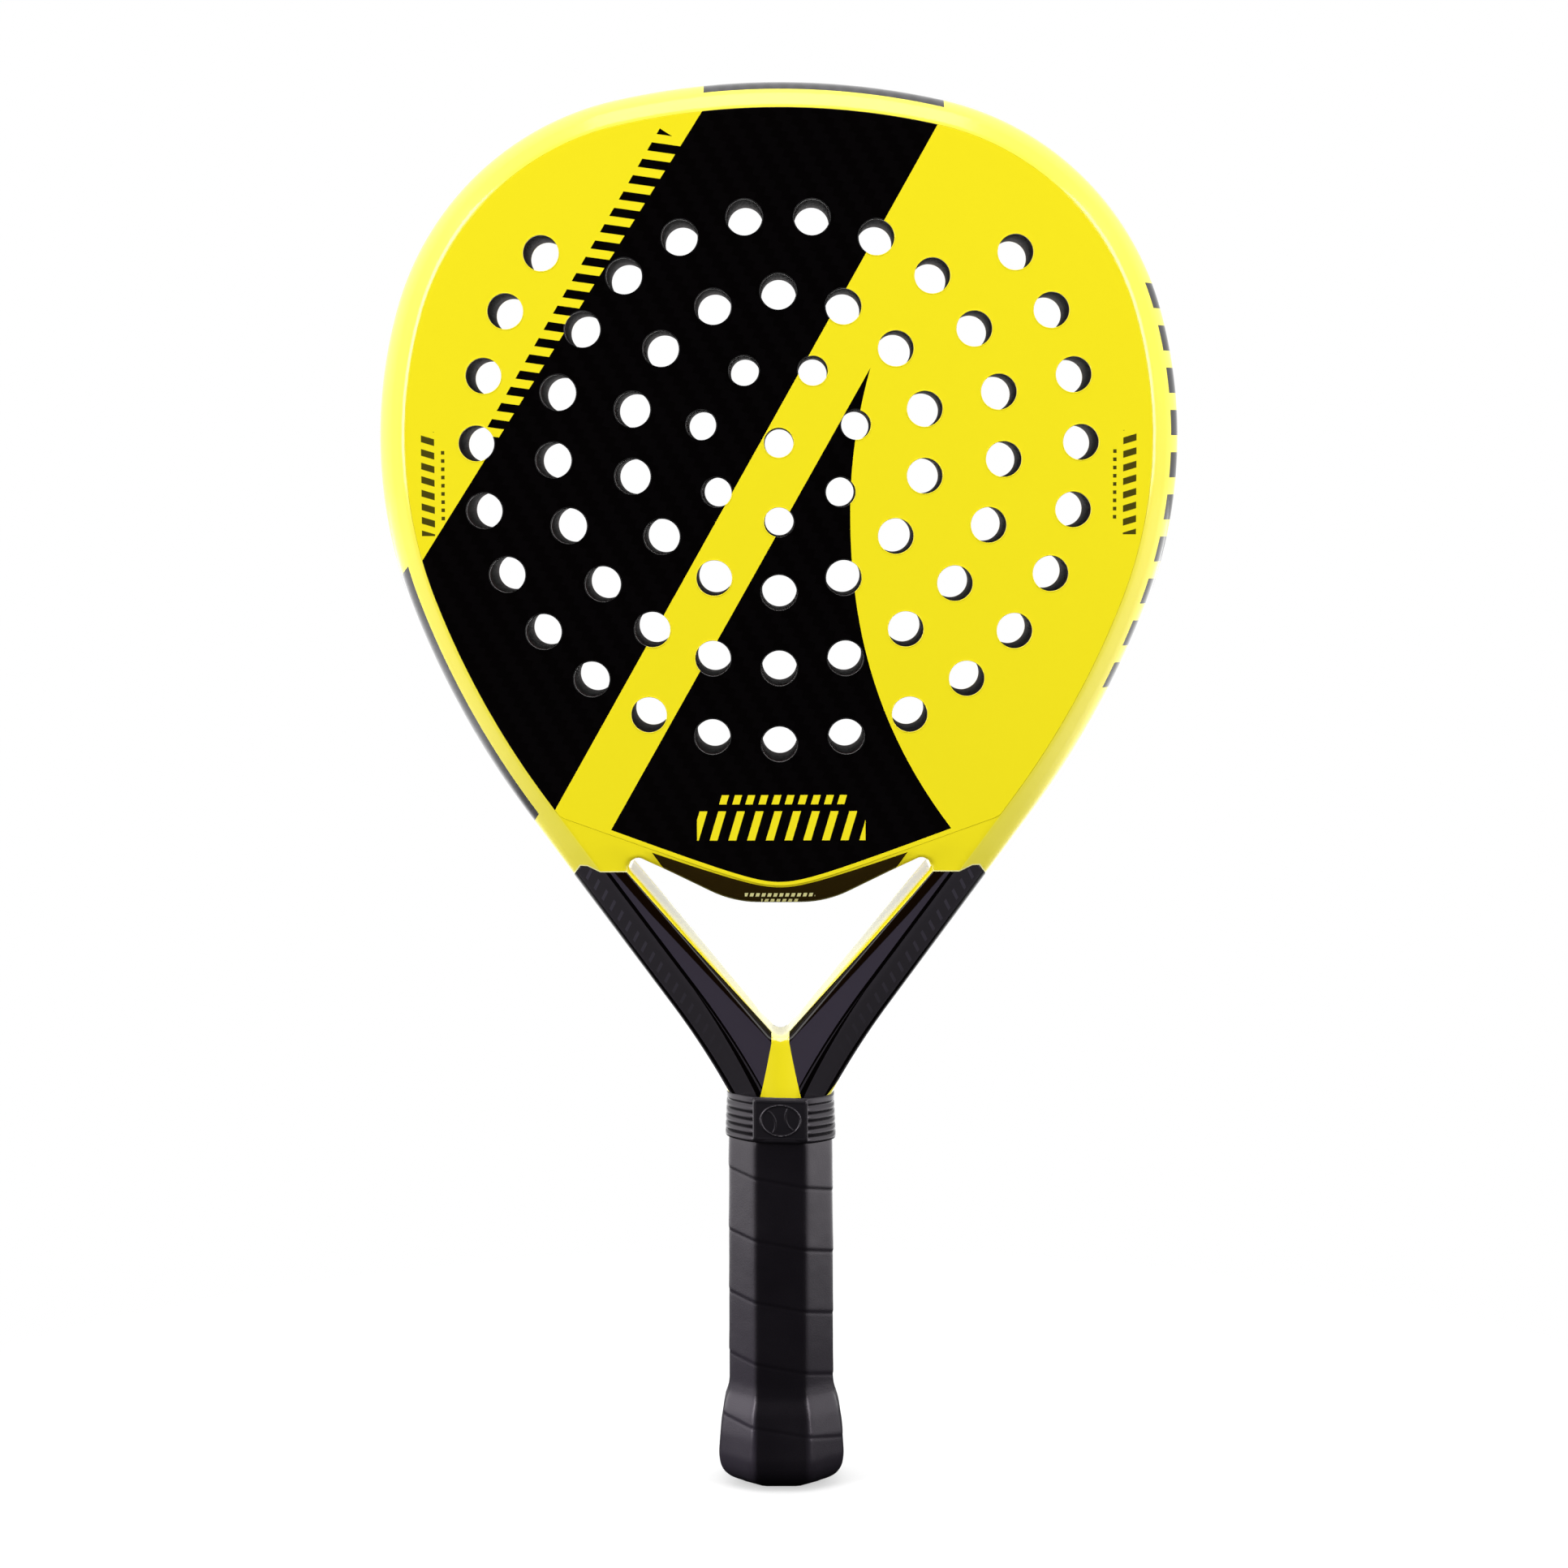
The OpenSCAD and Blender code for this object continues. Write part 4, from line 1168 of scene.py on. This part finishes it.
def collarBadge(material):
    badge = collar["badge"]
    x = np.arange(-badge["halfWidth"], badge["halfWidth"] + 0.01, badge["grid"])
    z = np.linspace(badge["low"], badge["high"], round((badge["high"] - badge["low"]) / badge["grid"]) + 1)
    gridX, gridZ = np.meshgrid(x, z)
    gridX, gridZ = gridX.ravel(), gridZ.ravel()
    base = collar["halfDepth"] + 0.25 - 0.002 * gridX ** 2
    front = np.stack([gridX, -(base + badgeRelief(gridX, gridZ)), gridZ], 1)
    back = np.stack([gridX, np.full(len(gridX), -15.2), gridZ], 1)
    columns, rows, count = len(x), len(z), len(gridX)
    faces = []
    for i in range(rows - 1):
        for j in range(columns - 1):
            a = i * columns + j
            quad = (a, a + 1, a + columns + 1, a + columns)
            faces += [quad, tuple(k + count for k in quad[::-1])]
    border = list(range(columns)) + [i * columns + columns - 1 for i in range(1, rows)]
    border += [(rows - 1) * columns + j for j in range(columns - 2, -1, -1)]
    border += [i * columns for i in range(rows - 2, 0, -1)]
    for a, b in zip(border, border[1:] + border[:1]):
        faces.append((a, a + count, b + count, b))
    obj = meshObject("collarBadge", tilted(np.concatenate([front, back])), faces, material)
    fixNormals(obj)
    sharpen(obj, 60)
    return obj


collarRubber, _, collarBsdf = rubberMaterial(
    "collarRubber", (0.0055, 0.0048, 0.0065, 1), (0.009, 0.008, 0.0105, 1), 0.24, 3000.0, 0.00006)
collarBsdf.inputs["Specular Tint"].default_value = (0.98, 0.9, 1, 1)
sleeve = collarSleeve(collarRubber)
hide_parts("rubber_collar")
badgePlate = collarBadge(collarRubber)
for piece in (sleeve, badgePlate):
    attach(piece, body)
print("collar is made")


def plainMaterial(name, colour, other, roughness, metal, size, depth):
    material, shade, bsdf = newMaterial(name)
    node = shade.group(grain, **{"Grain size": size, "Tone size": 60.0})
    shade.put(bsdf.inputs["Base Color"], shade.mix(node.outputs["Tone"], colour, other))
    shade.put(bsdf.inputs["Roughness"], shade.line(node.outputs["Tone"], 0.25, roughness))
    shade.put(bsdf.inputs["Normal"], bump(shade, node.outputs["Height"], 0.4, depth))
    bsdf.inputs["Metallic"].default_value = metal
    return material


# Closed-cell foam: a dark cut surface with fine open cells.
def foamMaterial():
    material, shade, bsdf = newMaterial("coreFoam")
    coords = shade.add("ShaderNodeTexCoord").outputs["Object"]
    cells = shade.add("ShaderNodeTexVoronoi")
    shade.put(cells.inputs["Vector"], coords)
    cells.inputs["Scale"].default_value = 1500
    colour = shade.mix(cells.outputs["Distance"], (0.008, 0.002, 0.002, 1), (0.028, 0.010, 0.010, 1))
    shade.put(bsdf.inputs["Base Color"], colour)
    bsdf.inputs["Roughness"].default_value = 0.8
    bsdf.inputs["Specular IOR Level"].default_value = 0.12
    shade.put(bsdf.inputs["Normal"], bump(shade, cells.outputs["Distance"], 0.6, 0.0003))
    return material


# two tones, roughness, metal, grain size and grain depth of each plain finish
plain = {
    "capsulePlastic": ((0.55, 0.57, 0.58, 1), (0.68, 0.69, 0.7, 1), 0.3, 0, 900.0, 0.00004),
    "plugRubber": ((0.02, 0.02, 0.022, 1), (0.04, 0.04, 0.043, 1), 0.5, 0, 1600.0, 0.00006),
    "cradleFoam": ((0.14, 0.14, 0.145, 1), (0.23, 0.23, 0.235, 1), 0.7, 0, 1300.0, 0.0002),
    "plainSteel": ((0.5, 0.5, 0.51, 1), (0.62, 0.62, 0.63, 1), 0.22, 1, 700.0, 0.00002),
    "palletFoam": ((0.45, 0.33, 0.18, 1), (0.56, 0.43, 0.26, 1), 0.6, 0, 1100.0, 0.0002),
    "capPlastic": ((0.010, 0.010, 0.011, 1), (0.020, 0.020, 0.022, 1), 0.38, 0, 2200.0, 0.00008),
    "closingTape": ((0.05, 0.05, 0.052, 1), (0.09, 0.09, 0.093, 1), 0.55, 0, 1800.0, 0.0001),
}
finishes = {name: plainMaterial(name, *settings) for name, settings in plain.items()}
finishes["coreFoam"] = foamMaterial()
words = {
    "foam_core": "coreFoam", "capsule_tube": "capsulePlastic", "capsule_plug": "plugRubber",
    "capsule_cradle": "cradleFoam", "bead_column": "plainSteel", "pallet": "palletFoam",
    "butt_cap": "capPlastic", "cap_staples": "plainSteel", "finishing_tape": "closingTape",
}
for name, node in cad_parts.items():
    for word, finish in words.items():
        if name.startswith(word):
            node.data.materials.clear()
            node.data.materials.append(finishes[finish])
print("CAD pieces are finished")


studio = {
    "floor": 3000, "floorZ": -0.2, "white": 1.0, "front": 0.0, "side": 1.8, "behind": 1.0, "bounce": 3.0,
    "dark": -0.72, "bright": -0.12,
}


def addFloor():
    material, shade, bsdf = newMaterial("paleFloor")
    seen = shade.add("ShaderNodeLightPath").outputs["Is Camera Ray"]
    shade.put(bsdf.inputs["Base Color"], shade.mix(seen, (0.08, 0.08, 0.08, 1), (0.9, 0.9, 0.9, 1)))
    bsdf.inputs["Roughness"].default_value = 0.8
    bsdf.inputs["Specular IOR Level"].default_value = 0.1
    x, y, z = shade.place()
    away = shade.sum("SQRT", shade.plus(shade.square(x), shade.square(y)))
    glow = shade.sum("MINIMUM", shade.line(away, 1 / 700, 0.5), 1.0)
    shine = shade.add("ShaderNodeEmission")
    sideways = soft(shade, shade.sum("DIVIDE", y, away), studio["dark"], studio["bright"])
    bounce = shade.times(shade.times(sideways, studio["bounce"]), soft(shade, away, 260.0, 560.0))
    shade.put(shine.inputs["Strength"], shade.blend(seen, bounce, studio["white"]))
    mixed = shade.add("ShaderNodeMixShader")
    shade.put(mixed.inputs[0], shade.blend(seen, 0.9, glow))
    shade.put(mixed.inputs[1], bsdf.outputs[0])
    shade.put(mixed.inputs[2], shine.outputs[0])
    shade.put(material.node_tree.nodes["Material Output"].inputs[0], mixed.outputs[0])
    size, z = studio["floor"], studio["floorZ"]
    angles = np.arange(96) * 2 * math.pi / 96
    flat = np.stack([np.cos(angles), np.sin(angles), np.zeros(96)], 1)
    rings = [flat * r + [0, 0, z] for r in (1, 300, 900, size)]
    faces = ringFaces(4, 96, False) + [tuple(range(95, -1, -1))]
    floor = meshObject("floor", np.concatenate(rings), faces, material, False)


# White to the camera. As a light it is dark in front, so the black lacquer stays black.
def addWorld():
    world = bpy.data.worlds.new("studio")
    world.use_nodes = True
    scene.world = world
    shade = Shade(world.node_tree)
    split = shade.add("ShaderNodeSeparateXYZ")
    shade.put(split.inputs[0], shade.add("ShaderNodeTexCoord").outputs["Generated"])
    y = split.outputs[1]
    sideways = soft(shade, y, studio["dark"], studio["bright"])
    level = shade.blend(sideways, studio["front"], studio["side"])
    back = shade.sum("MINIMUM", shade.times(shade.past(y, 0.2), 1 / 0.6), 1.0)
    level = shade.blend(back, level, studio["behind"])
    level = shade.times(level, shade.line(split.outputs[0], -0.16, 1.0))
    seen = shade.add("ShaderNodeLightPath").outputs["Is Camera Ray"]
    level = shade.blend(seen, level, studio["white"])
    background = world.node_tree.nodes["Background"]
    background.inputs["Color"].default_value = (1, 1, 1, 1)
    shade.put(background.inputs["Strength"], level)


def addLight(name, place, aim, size, power):
    light = bpy.data.lights.new(name, "AREA")
    light.shape = "RECTANGLE"
    light.size, light.size_y = size
    light.energy = power
    lamp = bpy.data.objects.new(name, light)
    towards = Vector(aim) - Vector(place)
    lamp.matrix_world = Matrix.Translation(place) @ towards.to_track_quat("-Z", "Y").to_matrix().to_4x4()
    scene.collection.objects.link(lamp)


addFloor()
addWorld()
middle = (0, 0, 0.26)
addLight("leftBox", (-1.5, -1.25, 0.9), middle, (0.5, 1.5), 24)
addLight("rightBox", (1.5, -1.25, 0.9), middle, (0.5, 1.5), 21.5)
addLight("topBox", (0, -0.7, 1.9), middle, (1.2, 0.5), 7)
print("studio is lit")
